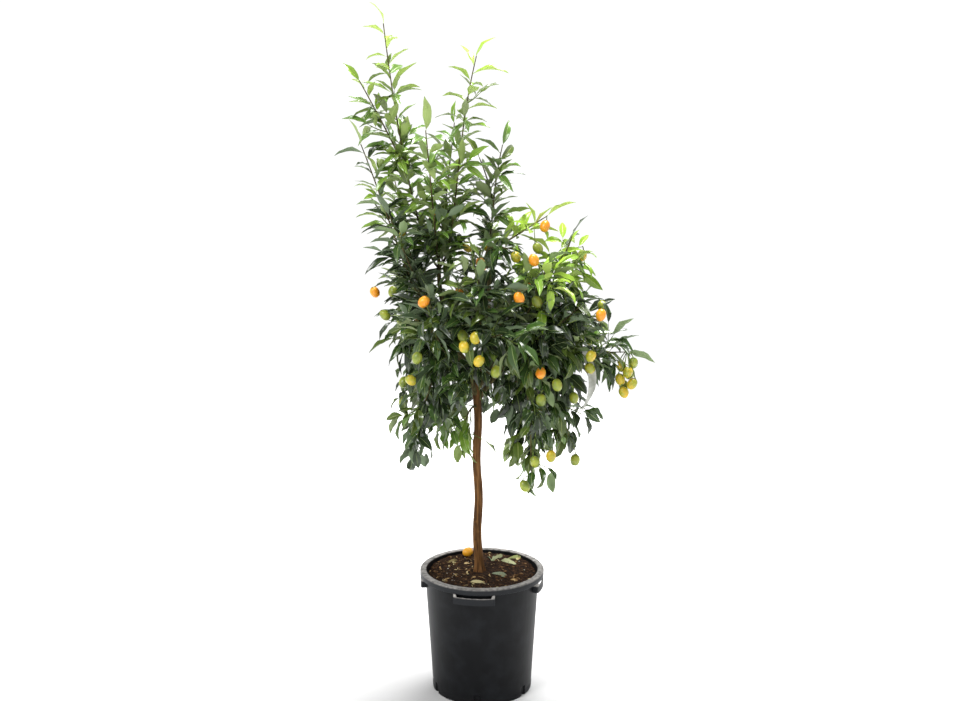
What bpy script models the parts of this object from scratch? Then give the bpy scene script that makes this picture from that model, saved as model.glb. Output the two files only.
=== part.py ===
"""A kumquat tree in its black nursery pot, in metres, with +Z up.

The origin is the centre of the pot's flat underside, +X is to the right in the front view and the
viewer looks along +Y. One slim trunk carries boughs, and each bough's tip carries masses of foliage.
A mass is one stem with twigs, leaves and fruit that keep nearer to it than to any other mass's stem,
so that no two masses meet.
"""

from math import cos, exp, pi, radians, sin

import bmesh
import bpy
import numpy as np
from mathutils import Matrix, noise

SEED = 7
GAP = 0.0003  # between neighbours that would touch

# The pot, a common 30 cm nursery container
POT_HEIGHT = 0.300
RIM_RADIUS = 0.150
NECK_RADIUS = 0.1385  # the wall's outside at the top
BASE_RADIUS = 0.120
WALL = 0.003
RIM_DROP = 0.015  # how far the rim's skirt turns down
POT_SIDES = 36
NOTCHES, NOTCH_WIDTH, NOTCH_HEIGHT, NOTCH_DEPTH = 6, 0.012, 0.025, 0.012
NOTCH_TURN = radians(25)
HANDLES = ("right", "back", "left", "front")
HANDLE_TURN = radians(-7.5)  # the grips sit a little round from the axes
HANDLE_WIDTH, HANDLE_TOP, HANDLE_HEIGHT, HANDLE_RADIUS = 0.100, 0.277, 0.017, 0.1497

# The soil, a little below the rim and level round the trunk
SOIL_TOP, SOIL_EDGE = 0.286, 0.280
SOIL_LEVEL, SOIL_FALL, SOIL_LUMPS = 0.045, 0.060, 0.004

# The trunk
TRUNK_FOOT, TRUNK_HEAD = np.array((-0.0090, 0.020)), np.array((-0.0120, 0.000))
TRUNK_TOP = 0.815
TRUNK_LOW_RADIUS, TRUNK_HIGH_RADIUS = 0.0106, 0.0088
FLARE, FLARE_HEIGHT, FLARE_LOBES = 0.0045, 0.014, 5
WOBBLE, WOBBLE_LENGTH = 0.0022, 0.19
TRUNK_SIDES, BOUGH_SIDES = 12, 6

# The boughs that fan out from the trunk: direction in degrees from +X, how far out the stems
# reach, and the heights of the tips of the upper, middle and lower stems
RING = (
    ("right", 2, 0.262, 1.105, 0.915, 0.640),
    ("back_right", 47, 0.240, None, 0.985, 0.660),
    ("back", 92, 0.230, 1.060, 0.915, 0.700),
    ("back_left", 137, 0.220, None, 0.985, 0.660),
    ("left", 182, 0.190, None, 0.915, 0.735),
    ("front_left", 225, 0.220, None, 0.985, 0.640),
    ("front", 268, 0.225, 1.030, 0.915, 0.800),
    ("front_right", 318, 0.250, 1.060, 0.960, 0.580),
)
RING_RADIUS, RING_RISE, RING_TILT = 0.105, 0.122, 62  # of the boughs' tips
RING_LOW, RING_STEP = 0.715, 0.008  # height of the lowest foot, and from each to the next
UPPER_SPREAD, LOWER_SPREAD = 0.80, 0.80  # of how far the middle stems reach
SPLAY = 14  # degrees that the middle and lower stems turn off the bough's direction

# The boughs that climb: name, height of the foot on the trunk, points to bend by, and tip
CLIMBERS = (
    ("leader", 0.800, (-0.012, 0.000, 0.850), (-0.105, 0.000, 0.880), (-0.100, 0.004, 1.035)),
    ("climbing_left", 0.789, (-0.070, -0.055, 0.850), (-0.135, -0.060, 0.965)),
    ("climbing_right", 0.790, (0.030, 0.035, 0.880), (0.012, 0.022, 1.070)),
)
# Their long shoots: name, bough, direction and tilt off the bough's tip, how far the middle bows
# to the right, the tip, and where a second tip forks off
SHOOTS = (
    ("tall_left", "leader", 185, 48, -0.028, (-0.220, -0.020, 1.585),
     (0.52, (-0.275, -0.035, 1.460))),
    ("tall_right", "leader", 0, 48, -0.015, (-0.012, 0.000, 1.515), None),
    ("centre", "leader", 268, 55, 0.0, (-0.124, -0.095, 1.350), None),
    ("rear", "leader", 92, 55, 0.0, (-0.065, 0.105, 1.365), None),
    ("outer_left", "climbing_left", 195, 40, 0.0, (-0.270, -0.075, 1.320), None),
    ("near_left", "climbing_left", 268, 58, 0.0, (-0.205, -0.125, 1.165), None),
    ("rear_left", "climbing_left", 118, 58, 0.0, (-0.205, 0.060, 1.235), None),
    ("inner_right", "climbing_right", 60, 30, -0.010, (0.048, 0.035, 1.315),
     (0.45, (-0.006, 0.060, 1.285))),
    ("upper_right", "climbing_right", 345, 62, 0.0, (0.150, -0.020, 1.155), None),
    ("near_right", "climbing_right", 272, 62, 0.0, (0.070, -0.100, 1.090), None),
)
SHOOT_START = 0.060  # how far a shoot holds its first direction
BUNCH_TIP = (0.335, -0.060, 0.845)  # of the stem whose bunch of fruit stands out on the right
HANGER_FOOT, HANGER_TIP = 0.700, (-0.050, -0.030, 0.620)  # the branchlet beside the trunk

# Wood
BOUGH_RADII = (0.0062, 0.0042)  # at the foot and the tip
LEADER_RADII = (0.0082, 0.0048)
STEM_RADII = (0.0026, 0.0014)
TWIG_RADII = (0.0015, 0.0011)
TWIG_LENGTH = 0.075

# Leaves, somewhat larger than life because there are fewer of them
LEAF_LENGTH, LEAF_WIDTH, LEAF_THICKNESS = 0.080, 0.031, 0.0016
LEAF_ARCH, LEAF_LEAN = 0.07, 0.5  # upwards, of its length, and sideways, in radians
# Twigs, leaves straight on the stem, and how far leaves droop, of each kind of mass
GROWTH = {
    "upper": (7, 7, 0.2),
    "middle": (6, 6, 0.2),
    "lower": (4, 6, 0.9),
    "fruiting": (3, 5, 0.2),
    "hanger": (2, 5, 0.9),
    "shoot": (4, 6, 0.2),
}
LONG_SHOOT, LEAF_STEP = 0.2, 0.024  # a longer shoot has a leaf every step instead
GOLDEN = radians(137.5)  # turn from each leaf on a twig to the next

# Fruit as it shows from the front, across and up on the trunk's own plane
FRUIT_LENGTH, FRUIT_WIDTH = 0.028, 0.021
FRUIT_SEEN = (
    (0.155, 1.127), (0.130, 1.045), (0.086, 1.050), (-0.034, 1.075), (0.090, 0.952), (-0.262, 0.965),
    (-0.040, 0.830), (-0.010, 0.845), (0.035, 0.775), (-0.158, 0.810), (-0.185, 0.755), (0.145, 0.775),
    (0.180, 0.745), (0.267, 0.815), (0.285, 0.935), (0.162, 0.585), (0.220, 0.575), (0.100, 0.530),
)  # fmt: skip
FRUIT_TURNS = ((0, 1), (180, 2), (90, 3), (270, 3))  # the same fruit round the crown: turn, every nth
CROWN_CENTRE, CROWN_SIZE = np.array((0.015, 0.0, 0.90)), (0.31, 0.235, 0.40)
EYE_DISTANCE, EYE_HEIGHT = 3.0, 1.40  # where the front is seen from
BUNCH_FRUIT, BUNCH_RADIUS, BUNCH_DROP, BUNCH_STEP = 5, 0.013, 0.045, 0.011

# The blank strip label that hangs on the right: it loops round a stem, and its tail hangs down
LABEL_WIDTH, LABEL_THICKNESS, LABEL_LENGTH, LABEL_LOOP, LABEL_SHARE = 0.020, 0.0008, 0.135, 0.007, 0.72

REACH = {"shoot": 0.085, "hanger": 0.065, "": 0.12}  # how far a mass reaches from its stem
MARGIN = 0.006  # how much nearer a leaf keeps to its own stem than to another's
LIMB_ROOM = 0.007  # and how far off a limb


def unit(vector):
    return np.asarray(vector, float) / np.linalg.norm(vector)


def heading(azimuth, tilt):
    """The unit vector at this angle from +X and this angle off the vertical, in degrees."""
    azimuth, tilt = radians(azimuth), radians(tilt)
    return np.array((sin(tilt) * cos(azimuth), sin(tilt) * sin(azimuth), cos(tilt)))


def curve(controls, steps):
    """Points along the Bezier curve of these control points."""
    t = np.linspace(0, 1, steps + 1)[:, None, None]
    points = np.array(controls, float)[None].repeat(steps + 1, axis=0)
    while points.shape[1] > 1:
        points = (1 - t) * points[:, :-1] + t * points[:, 1:]
    return points[:, 0]


def along(points, share):
    """The place and the direction at this share of a path's points."""
    place = share * (len(points) - 1)
    low = min(int(place), len(points) - 2)
    step = points[low + 1] - points[low]
    return points[low] + (place - low) * step, unit(step)


def lofted(sections):
    """Corners and faces of the closed solid through these sections, each turning left about the way."""
    count, corners = len(sections), len(sections[0])
    faces = [tuple(reversed(range(corners))), tuple(range((count - 1) * corners, count * corners))]
    for ring in range(count - 1):
        for corner in range(corners):
            low, next_low = ring * corners + corner, ring * corners + (corner + 1) % corners
            faces.append((low, next_low, next_low + corners, low + corners))
    return np.concatenate(sections), faces


def rod(points, radii, sides):
    """A tapering limb: rings of corners carried along the points without twisting."""
    ways = np.gradient(np.asarray(points), axis=0)
    side = np.cross(ways[0], (0.3, 0.5, 0.8))
    sections = []
    for point, way, radius in zip(points, ways, radii):
        way = unit(way)
        side = unit(side - way * side.dot(way))
        turns = np.arange(sides)[:, None] * 2 * pi / sides
        sections.append(point + radius * (np.cos(turns) * side + np.sin(turns) * np.cross(way, side)))
    return lofted(sections)


def tapering(points, radii):
    return np.linspace(radii[0], radii[1], len(points))


def material(name, colour, roughness):
    made = bpy.data.materials.new(name)
    made.use_nodes = True
    shader = made.node_tree.nodes["Principled BSDF"]
    shader.inputs["Base Color"].default_value = (*colour, 1)
    shader.inputs["Roughness"].default_value = roughness
    made.diffuse_color = (*colour, 1)
    return made


def placed(name, mesh, finish, smooth=30):
    """A new object for this mesh. Edges that bend by less than smooth degrees are shaded round."""
    mesh.materials.append(finish)
    mesh.shade_smooth()
    mesh.set_sharp_from_angle(angle=radians(smooth))
    made = bpy.data.objects.new(name, mesh)
    bpy.context.scene.collection.objects.link(made)
    return made


def solid(name, shape, finish, smooth=30):
    points, faces = shape
    mesh = bpy.data.meshes.new(name)
    mesh.from_pydata([tuple(point) for point in points], [], faces)
    return placed(name, mesh, finish, smooth)


def turned(name, profile, finish):
    """A profile of (radius, height), up the outside and back down, spun about the pot's axis."""
    shape = bmesh.new()
    chain = [shape.verts.new((radius, 0, height)) for radius, height in profile]
    ends = list(zip(chain, chain[1:]))
    if profile[0][0] > 0:
        ends.append((chain[-1], chain[0]))
    edges = [shape.edges.new(pair) for pair in ends]
    turn = {"cent": (0, 0, 0), "axis": (0, 0, 1), "angle": 2 * pi, "steps": POT_SIDES}
    bmesh.ops.spin(shape, geom=chain + edges, use_merge=True, **turn)
    bmesh.ops.remove_doubles(shape, verts=shape.verts, dist=1e-5)
    bmesh.ops.recalc_face_normals(shape, faces=shape.faces)
    mesh = bpy.data.meshes.new(name)
    shape.to_mesh(mesh)
    shape.free()
    return placed(name, mesh, finish)


def cut(target, cutter):
    """Takes the cutter, which is no part of the model, out of the target."""
    cutter.hide_render = True
    cutter.display_type = "WIRE"
    change = target.modifiers.new("cut", "BOOLEAN")
    change.operation = "DIFFERENCE"
    change.object = cutter


def wall_radius(height):
    """The pot wall's outside at this height."""
    return BASE_RADIUS + (NECK_RADIUS - BASE_RADIUS) * height / POT_HEIGHT


def build_pot(plastic):
    """The tapering wall and floor, notched at the foot for drainage, and the turned-down rim on it."""
    top = POT_HEIGHT - WALL
    outside = [(0, 0), (BASE_RADIUS, 0), (wall_radius(top - GAP), top - GAP)]
    inside = [(wall_radius(top) - WALL, top - GAP), (wall_radius(WALL) - WALL, WALL), (0, WALL)]
    pot = turned("pot", outside + inside, plastic)
    shape = bmesh.new()
    for notch in range(NOTCHES):
        turn = NOTCH_TURN + notch * 2 * pi / NOTCHES
        made = bmesh.ops.create_cube(shape, size=1)["verts"]
        bmesh.ops.scale(shape, verts=made, vec=(2 * NOTCH_DEPTH, NOTCH_WIDTH, 2 * NOTCH_HEIGHT))
        bmesh.ops.translate(shape, verts=made, vec=(BASE_RADIUS, 0, 0))
        bmesh.ops.rotate(shape, verts=made, cent=(0, 0, 0), matrix=Matrix.Rotation(turn, 3, "Z"))
    mesh = bpy.data.meshes.new("notches")
    shape.to_mesh(mesh)
    shape.free()
    cut(pot, placed("notches", mesh, plastic))

    inner, skirt = wall_radius(top) - WALL, RIM_RADIUS - WALL
    low = POT_HEIGHT - RIM_DROP
    rim = [(inner, top), (skirt, top), (skirt, low)]
    rim += [(RIM_RADIUS, low), (RIM_RADIUS, POT_HEIGHT), (inner, POT_HEIGHT)]
    turned("pot_rim", rim, plastic)


def build_handles(plastic):
    """A grip under the rim on each side: a strap on two arms that reach the wall."""
    half, arm = HANDLE_WIDTH / 2 / HANDLE_RADIUS, WALL / HANDLE_RADIUS
    low, top = HANDLE_TOP - HANDLE_HEIGHT, HANDLE_TOP
    for step, name in enumerate(HANDLES):
        middle = step * pi / 2 + HANDLE_TURN
        strap = [(turn, False) for turn in np.linspace(-half, half, 9)]
        sections = []
        for outer, at_wall in ((-half, True), *strap, (half, True)):
            inner = max(-half + arm, min(half - arm, outer))
            places = ((outer, 0, low), (inner, WALL, low), (inner, WALL, top), (outer, 0, top))
            corners = []
            for turn, depth, height in places:
                radius = wall_radius(height) + 1.5 * GAP if at_wall else HANDLE_RADIUS - depth
                corners.append((radius * cos(middle + turn), radius * sin(middle + turn), height))
            sections.append(np.array(corners))
        solid(f"handle_{name}", lofted(sections), plastic)


def build_soil(earth):
    """The potting mix, level round the trunk and uneven towards the wall."""
    floor = WALL + GAP
    rings = [(wall_radius(SOIL_TOP) - WALL - 1.5 * GAP) * share for share in (1, 0.78, 0.5)]
    profile = [(0, floor), (wall_radius(floor) - WALL - 1.5 * GAP, floor)]
    soil = turned("soil", profile + [(radius, SOIL_TOP) for radius in rings] + [(0, SOIL_TOP)], earth)
    for point in soil.data.vertices:
        away = np.linalg.norm(np.array(point.co.xy) - TRUNK_FOOT)
        fall = min(1, max(0, away - SOIL_LEVEL) / SOIL_FALL)
        if point.co.z > SOIL_EDGE:
            drop = fall * (SOIL_TOP - SOIL_EDGE + SOIL_LUMPS * (0.5 + noise.noise(point.co * 40)))
            narrower = (wall_radius(SOIL_TOP - drop) - WALL) / (wall_radius(SOIL_TOP) - WALL)
            point.co = (point.co.x * narrower, point.co.y * narrower, SOIL_TOP - drop)


def trunk_centre(height):
    """The middle of the trunk at this height: a lean, and a slight wave from side to side."""
    share = (height - SOIL_TOP) / (TRUNK_TOP - SOIL_TOP)
    x, y = TRUNK_FOOT + (TRUNK_HEAD - TRUNK_FOOT) * share
    return np.array((x + WOBBLE * cos(2 * pi * (height - SOIL_TOP) / WOBBLE_LENGTH), y, height))


def trunk_shape(extra=0.0):
    """Level rings up the trunk, wider by extra all round, with the flare's lobes at the foot."""
    foot = SOIL_TOP + GAP
    heights = [foot + rise for rise in (0, 0.005, 0.012, 0.024, 0.042)]
    heights += list(np.linspace(foot + 0.08, TRUNK_TOP, 11))
    sections = []
    for height in heights:
        radius = np.interp(height, (foot, TRUNK_TOP), (TRUNK_LOW_RADIUS, TRUNK_HIGH_RADIUS))
        flare = FLARE * exp(-(height - foot) / FLARE_HEIGHT)
        turns = np.arange(TRUNK_SIDES) * 2 * pi / TRUNK_SIDES
        reach = radius + flare * (1 + 0.5 * np.cos(FLARE_LOBES * turns)) + extra
        ring = np.stack((reach * np.cos(turns), reach * np.sin(turns), np.zeros(TRUNK_SIDES)), axis=1)
        ring += trunk_centre(height)
        sections.append(ring)
    if extra:
        sections[0][:, 2] -= extra
        sections[-1][:, 2] += extra
    return lofted(sections)


def plan_boughs():
    """Each bough's path and its radii, from inside the trunk to its tip."""
    boughs = {}
    for step, (name, azimuth, *_) in enumerate(RING):
        foot = trunk_centre(RING_LOW + RING_STEP * (step * 5 % len(RING)))
        tip = heading(azimuth, 90) * RING_RADIUS + (0, 0, foot[2] + RING_RISE)
        bend = tip - heading(azimuth, RING_TILT) * 0.065
        boughs[f"bough_{name}"] = (curve((foot, bend, tip), 7), BOUGH_RADII)
    for name, foot, *bends in CLIMBERS:
        radii = LEADER_RADII if name == "leader" else BOUGH_RADII
        boughs[f"bough_{name}"] = (curve((trunk_centre(foot), *bends), 8), radii)
    return boughs


def build_boughs(boughs, bark, cutter):
    """Tapering limbs with a rounded tip, each trimmed to the trunk's side."""
    for name, (points, radii) in boughs.items():
        widths = tapering(points, radii)
        way = unit(points[-1] - points[-2])
        points = np.vstack((points[:-1], points[-1] - way * radii[1] * 0.7, points[-1]))
        widths = np.append(widths, radii[1] * 0.55)
        cut(solid(name, rod(points, widths, BOUGH_SIDES), bark, smooth=60), cutter)


def off_tip(bough, azimuth, tilt):
    """Where a stem starts that leaves a bough's rounded tip this way, and the way itself."""
    points, radii = bough
    knuckle = points[-1] - unit(points[-1] - points[-2]) * radii[1] * 0.7
    return knuckle + heading(azimuth, tilt) * (radii[1] + 2 * GAP), heading(azimuth, tilt)


def plan_masses(boughs):
    """Each mass's stems as paths: the first leaves the bough, and a second forks off the first."""
    masses = {}
    for name, azimuth, spread, top, middle, low in RING:
        for level, share, height, turn, tilt, hold in (
            ("upper", UPPER_SPREAD, top, 0, 22, 0.05),
            ("middle", 1, middle, SPLAY, 82, 0.06),
            ("lower", LOWER_SPREAD, low, -SPLAY, 142 if name == "front" else 132, 0.09),
        ):
            if height:
                start, way = off_tip(boughs[f"bough_{name}"], azimuth + turn, tilt)
                tip = heading(azimuth + turn, 90) * spread * share + (0, 0, height)
                masses[f"{level}_{name}"] = [curve((start, start + way * hold, tip), 6)]
    start, way = off_tip(boughs["bough_right"], -58, 84)
    masses["fruiting_right"] = [curve((start, start + way * 0.09, BUNCH_TIP), 8)]

    for name, bough, azimuth, tilt, bow, tip, fork in SHOOTS:
        start, way = off_tip(boughs[f"bough_{bough}"], azimuth, tilt)
        middle = start + 0.55 * (np.array(tip) - start) + (bow, 0, 0)
        stems = [curve((start, start + way * SHOOT_START, middle, tip), 8)]
        if fork:
            share, second = fork
            place, way = along(stems[0], share)
            stems.append(curve((place, place + way * 0.05, second), 4))
        masses[f"shoot_{name}"] = stems

    centre = trunk_centre(HANGER_FOOT)
    way = heading(245, 70)
    start = centre + way * (TRUNK_HIGH_RADIUS + 0.0024)
    masses["hanger"] = [curve((start, start + way * 0.05, HANGER_TIP), 6)]
    return masses


def samples(paths, step=0.005):
    """Points every step along all these paths."""
    found = []
    for path in paths:
        for start, end in zip(path[:-1], path[1:]):
            count = max(1, int(np.ceil(np.linalg.norm(end - start) / step)))
            found.append(start + (end - start) * np.arange(count)[:, None] / count)
        found.append(path[-1:])
    return np.concatenate(found)


class Space:
    """What each mass may fill: points nearer to its own stems than to another's, off every limb."""

    def __init__(self, masses, limbs):
        self.stems = {name: samples(stems) for name, stems in masses.items()}
        self.owners = np.concatenate([[name] * len(points) for name, points in self.stems.items()])
        self.points = np.concatenate(list(self.stems.values()))
        paths = [(samples([points]), radii) for points, radii in limbs]
        self.limbs = np.concatenate([points for points, _ in paths])
        self.radii = np.concatenate([tapering(points, radii) for points, radii in paths])

    def owner(self, place):
        return self.owners[np.linalg.norm(self.points - place, axis=1).argmin()]

    def open(self, points, owner, size=0.0):
        """Whether balls of this size at the points stay in the owner's space and off the limbs."""
        away = np.linalg.norm(points[:, None] - self.points[None], axis=2)
        mine = self.owners == owner
        near = away[:, mine].min(axis=1)
        spare = away[:, ~mine].min(axis=1) - near
        off_limbs = np.linalg.norm(points[:, None] - self.limbs[None], axis=2) - self.radii
        reach = next(far for kind, far in REACH.items() if owner.startswith(kind))
        return near.max() < reach and spare.min() > MARGIN + 2 * size and off_limbs.min() > LIMB_ROOM + size


def blade(base, way, up, length, width):
    """A leaf of six faces: arched, pointed at both ends, with a keel for its midrib."""
    side = np.cross(way, up) * width / 2
    middle = base + 0.45 * length * way + LEAF_ARCH * length * up
    tip = base + length * way - LEAF_ARCH * length * up
    points = (base, middle - side, middle + side, middle - LEAF_THICKNESS * up, tip)
    faces = [(0, 2, 1), (0, 3, 2), (0, 1, 3), (4, 1, 2), (4, 2, 3), (4, 3, 1)]
    return np.array(points), faces


def fruit(centre, way, length, width):
    """An oval about its own axis: two rings of six corners, and a point at each end."""
    side = unit(np.cross(way, (0.2, 0.9, 0.3)))
    turns = np.arange(6)[:, None] * pi / 3
    around = np.cos(turns) * side + np.sin(turns) * np.cross(way, side)
    rings = [centre + lift * way * length + around * width / 2 for lift in (-0.2, 0.2)]
    points, faces = lofted(rings)
    ends = [centre - way * length / 2, centre + way * length / 2]
    caps = [((i + 1) % 6, i, 12) for i in range(6)] + [(6 + i, 6 + (i + 1) % 6, 13) for i in range(6)]
    return np.vstack((points, ends)), faces[2:] + caps


class Mass:
    """One mass while it grows: its name, its space and the shapes that make it up."""

    def __init__(self, name, stems, space, random):
        self.name, self.stems, self.space, self.random = name, stems, space, random
        self.shapes, self.fruit = [], np.empty((0, 3))
        kind = next(kind for kind in GROWTH if name.startswith(kind))
        self.twigs, self.on_stem, self.droop = GROWTH[kind]
        wood = list(STEM_RADII)
        for stem in stems:
            self.shapes.append(rod(stem, tapering(stem, wood), 3))
            wood[0] = STEM_RADII[0] * 0.75

    def leaf(self, place, way, roll, openness, size=1.0):
        """Tries a leaf off a twig at place, and then turned or shortened, until one has room."""
        for turn, shorter in ((0, 1), (0.9, 1), (-0.9, 0.9), (1.8, 0.85), (-1.8, 0.8), (pi, 0.75)):
            side = unit(np.cross(way, (0.21, 0.37, 0.9)))
            around = cos(roll + turn) * side + sin(roll + turn) * np.cross(way, side)
            out = unit(cos(openness) * way + sin(openness) * around - (0, 0, self.droop))
            up = np.array((0, 0, 0.8)) + 0.35 * way + 0.45 * around
            up = unit(up - out * up.dot(out))
            lean = self.random.normal(0, LEAF_LEAN)
            up = cos(lean) * up + sin(lean) * np.cross(out, up)
            length = LEAF_LENGTH * size * shorter * self.random.uniform(0.88, 1.1)
            width = LEAF_WIDTH * length / LEAF_LENGTH
            shape = blade(place, out, up, length, width)
            spread = np.cross(out, up) * width
            marks = [place + out * length * share for share in (0.08, 0.25, 0.5, 0.75, 1.0, 1.04)]
            marks += [place + out * length * 0.7 + spread * half for half in (-0.3, 0.3)]
            marks = np.vstack((marks, shape[0][1:3]))
            if len(self.fruit):
                nearest = np.linalg.norm(marks[:, None] - self.fruit[None], axis=2).min()
                if nearest < FRUIT_WIDTH * 0.7:
                    continue
            if self.space.open(marks, self.name):
                self.shapes.append(shape)
                return

    def leaves(self, points, first, count, phase, openness=0.95, size=1.0):
        """Leaves at the golden angle from first to the end of a twig, the last one on its tip."""
        for number, share in enumerate(np.linspace(first, 1, count)):
            place, way = along(points, min(share, 0.97))
            wide = openness if number < count - 1 else 0.25
            self.leaf(place, way, phase + number * GOLDEN, wide, size)

    def twig(self, share, roll, length):
        """A side twig with three leaves, left out where it would leave the space."""
        place, way = along(self.stems[0], share)
        side = unit(np.cross(way, (0.21, 0.37, 0.9)))
        around = cos(roll) * side + sin(roll) * np.cross(way, side)
        out = unit(0.55 * way + around)
        bend = place + out * length * 0.5
        points = curve((place, bend, bend + unit(out + (0, 0, -0.35)) * length * 0.5), 2)
        if self.space.open(points, self.name, TWIG_RADII[0]):
            self.shapes.append(rod(points, tapering(points, TWIG_RADII), 3))
            self.leaves(points, 0.4, 3, roll + 1)

    def bear(self, centre, stem, leafy=True):
        """A fruit that hangs at centre from the nearest stretch of the stem."""
        if not self.space.open(centre[None], self.name, FRUIT_WIDTH / 2):
            return
        if len(self.fruit) and np.linalg.norm(self.fruit - centre, axis=1).min() < FRUIT_WIDTH * 0.75:
            return
        shares = np.linspace(0.25, 0.96, 12)
        places = np.array([along(stem, share)[0] for share in shares])
        start = places[np.linalg.norm(places - centre - (0, 0, 0.02), axis=1).argmin()]
        top = centre + (0, 0, FRUIT_LENGTH * 0.38)
        points = curve((start, (start + top) / 2 + (0, 0, 0.012), top), 2)
        self.shapes.append(rod(points, tapering(points, TWIG_RADII), 3))
        tilt = self.random.normal(0, 0.25, 2)
        self.shapes.append(fruit(centre, unit((*tilt, 1)), FRUIT_LENGTH, FRUIT_WIDTH))
        self.fruit = np.vstack((self.fruit, centre))
        if leafy and np.linalg.norm(points[-1] - points[0]) > 0.02:
            self.leaves(points[:2], 0.7, 2, self.random.uniform(0, 6), 0.9)


def crown_fruit():
    """Where fruit hangs: each one seen from the front, slid along the line of sight to the crown's
    face, and the same again turned round the trunk."""
    for turn, every in FRUIT_TURNS:
        for across, up in FRUIT_SEEN[turn // 90 % every :: every]:
            off = (np.array((across, up)) - CROWN_CENTRE[::2]) / CROWN_SIZE[::2]
            depth = -CROWN_SIZE[1] * max(0.0, 1 - off @ off) ** 0.5
            nearer = 1 + depth / EYE_DISTANCE
            place = np.array((across * nearer, depth, EYE_HEIGHT + (up - EYE_HEIGHT) * nearer))
            yield np.array(Matrix.Rotation(radians(turn), 3, "Z")) @ (place - CROWN_CENTRE) + CROWN_CENTRE


def grow(name, stems, space, places, random):
    """Fruit first, then twigs and leaves up the stem by the golden angle."""
    mass = Mass(name, stems, space, random)
    for centre in places:
        mass.bear(centre, stems[0])
    if name == "fruiting_right":
        for number in range(BUNCH_FRUIT):
            round_it = BUNCH_RADIUS * heading(degrees_of(number * GOLDEN), 90)
            drop = (0, 0, BUNCH_DROP + BUNCH_STEP * number)
            mass.bear(stems[0][-1] + round_it - drop, stems[0], False)
    phase = random.uniform(0, 2 * pi)
    for number, stem in enumerate(stems):
        reach = np.linalg.norm(np.diff(stem, axis=0), axis=1).sum()
        if name.startswith("shoot") and reach > LONG_SHOOT or number:
            mass.leaves(stem, 0.16, int(reach / LEAF_STEP), phase, 0.95, 0.95)
            twigs = 2 if number == 0 else 0
        else:
            mass.leaves(stem, 0.3, mass.on_stem, phase)
            twigs = mass.twigs
        for step in range(twigs):
            share = 0.16 + 0.66 * step / max(1, twigs - 1)
            mass.twig(share, phase + 2 + step * GOLDEN, TWIG_LENGTH * random.uniform(0.7, 1.1))
    return mass.shapes


def degrees_of(angle):
    return angle * 180 / pi


def keep_one_body(mesh):
    """Deletes all but the largest closed surface: loose scraps, and hollows that joining sealed."""
    shape = bmesh.new()
    shape.from_mesh(mesh)
    bmesh.ops.triangulate(shape, faces=shape.faces)
    bmesh.ops.dissolve_degenerate(shape, edges=shape.edges, dist=1e-6)
    left, bodies = set(shape.faces), []
    while left:
        body, reached = set(), [left.pop()]
        while reached:
            face = reached.pop()
            body.add(face)
            near = {other for edge in face.edges for other in edge.link_faces} & left
            left -= near
            reached.extend(near)
        bodies.append(body)
    volumes = [sum(f.verts[0].co.dot(f.verts[1].co.cross(f.verts[2].co)) for f in body) for body in bodies]
    kept = bodies[int(np.argmax(volumes))]
    bmesh.ops.delete(shape, geom=[face for face in shape.faces if face not in kept], context="FACES")
    shape.to_mesh(mesh)
    closed = all(edge.is_manifold for edge in shape.edges)
    shape.free()
    return closed


def fused(name, shapes, finish):
    """One Boolean union of a mass's stem with the collection of its other shapes."""
    made = solid(name, shapes[0], finish)
    group = bpy.data.collections.new(f"{name}_shapes")
    bpy.context.scene.collection.children.link(group)
    for shape in shapes[1:]:
        points, faces = shape
        mesh = bpy.data.meshes.new("shape")
        mesh.from_pydata([tuple(point) for point in points], [], faces)
        group.objects.link(bpy.data.objects.new("shape", mesh))
    for solver in ("EXACT", "MANIFOLD"):
        union = made.modifiers.new("union", "BOOLEAN")
        union.operation, union.operand_type, union.collection = "UNION", "COLLECTION", group
        union.solver = solver
        bpy.context.view_layer.update()
        graph = bpy.context.evaluated_depsgraph_get()
        mesh = bpy.data.meshes.new_from_object(made.evaluated_get(graph))
        made.modifiers.remove(union)
        if keep_one_body(mesh):
            break
    made.data = mesh
    for piece in list(group.objects):
        bpy.data.objects.remove(piece)
    bpy.data.collections.remove(group)
    return made


def build_label(stem, card):
    """A blank strip, once round the stem and hanging with a slight curve, and points along it."""
    place, way = along(stem, LABEL_SHARE)
    side = unit((way[0], way[1], 0))
    out = np.array((-side[1], side[0], 0))
    turns = np.linspace(-0.5 * pi, 1.35 * pi, 13)
    path = [place + LABEL_LOOP * (cos(turn) * out + sin(turn) * np.array((0, 0, 1))) for turn in turns]
    foot = path[-1]
    path = path[1:]
    for drop in np.linspace(0.15, 1, 6):
        bow = out * 0.012 * sin(pi * drop) + side * 0.02 * drop**2
        path.append(foot - bow - (0, 0, LABEL_LENGTH * drop))
    ways = np.gradient(np.array(path), axis=0)
    sections = []
    for number, (point, way) in enumerate(zip(path, ways)):
        face = unit(np.cross(unit(way), side))
        taper = 1 - 0.5 * max(0, (number - 14) / 3) ** 2
        wide, thick = side * LABEL_WIDTH / 2 * taper, face * LABEL_THICKNESS / 2
        corners = (-wide - thick, wide - thick, wide + thick, thick - wide)
        sections.append(np.array([point + corner for corner in corners]))
    return solid("label", lofted(sections), card), samples([np.array(path)])


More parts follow.
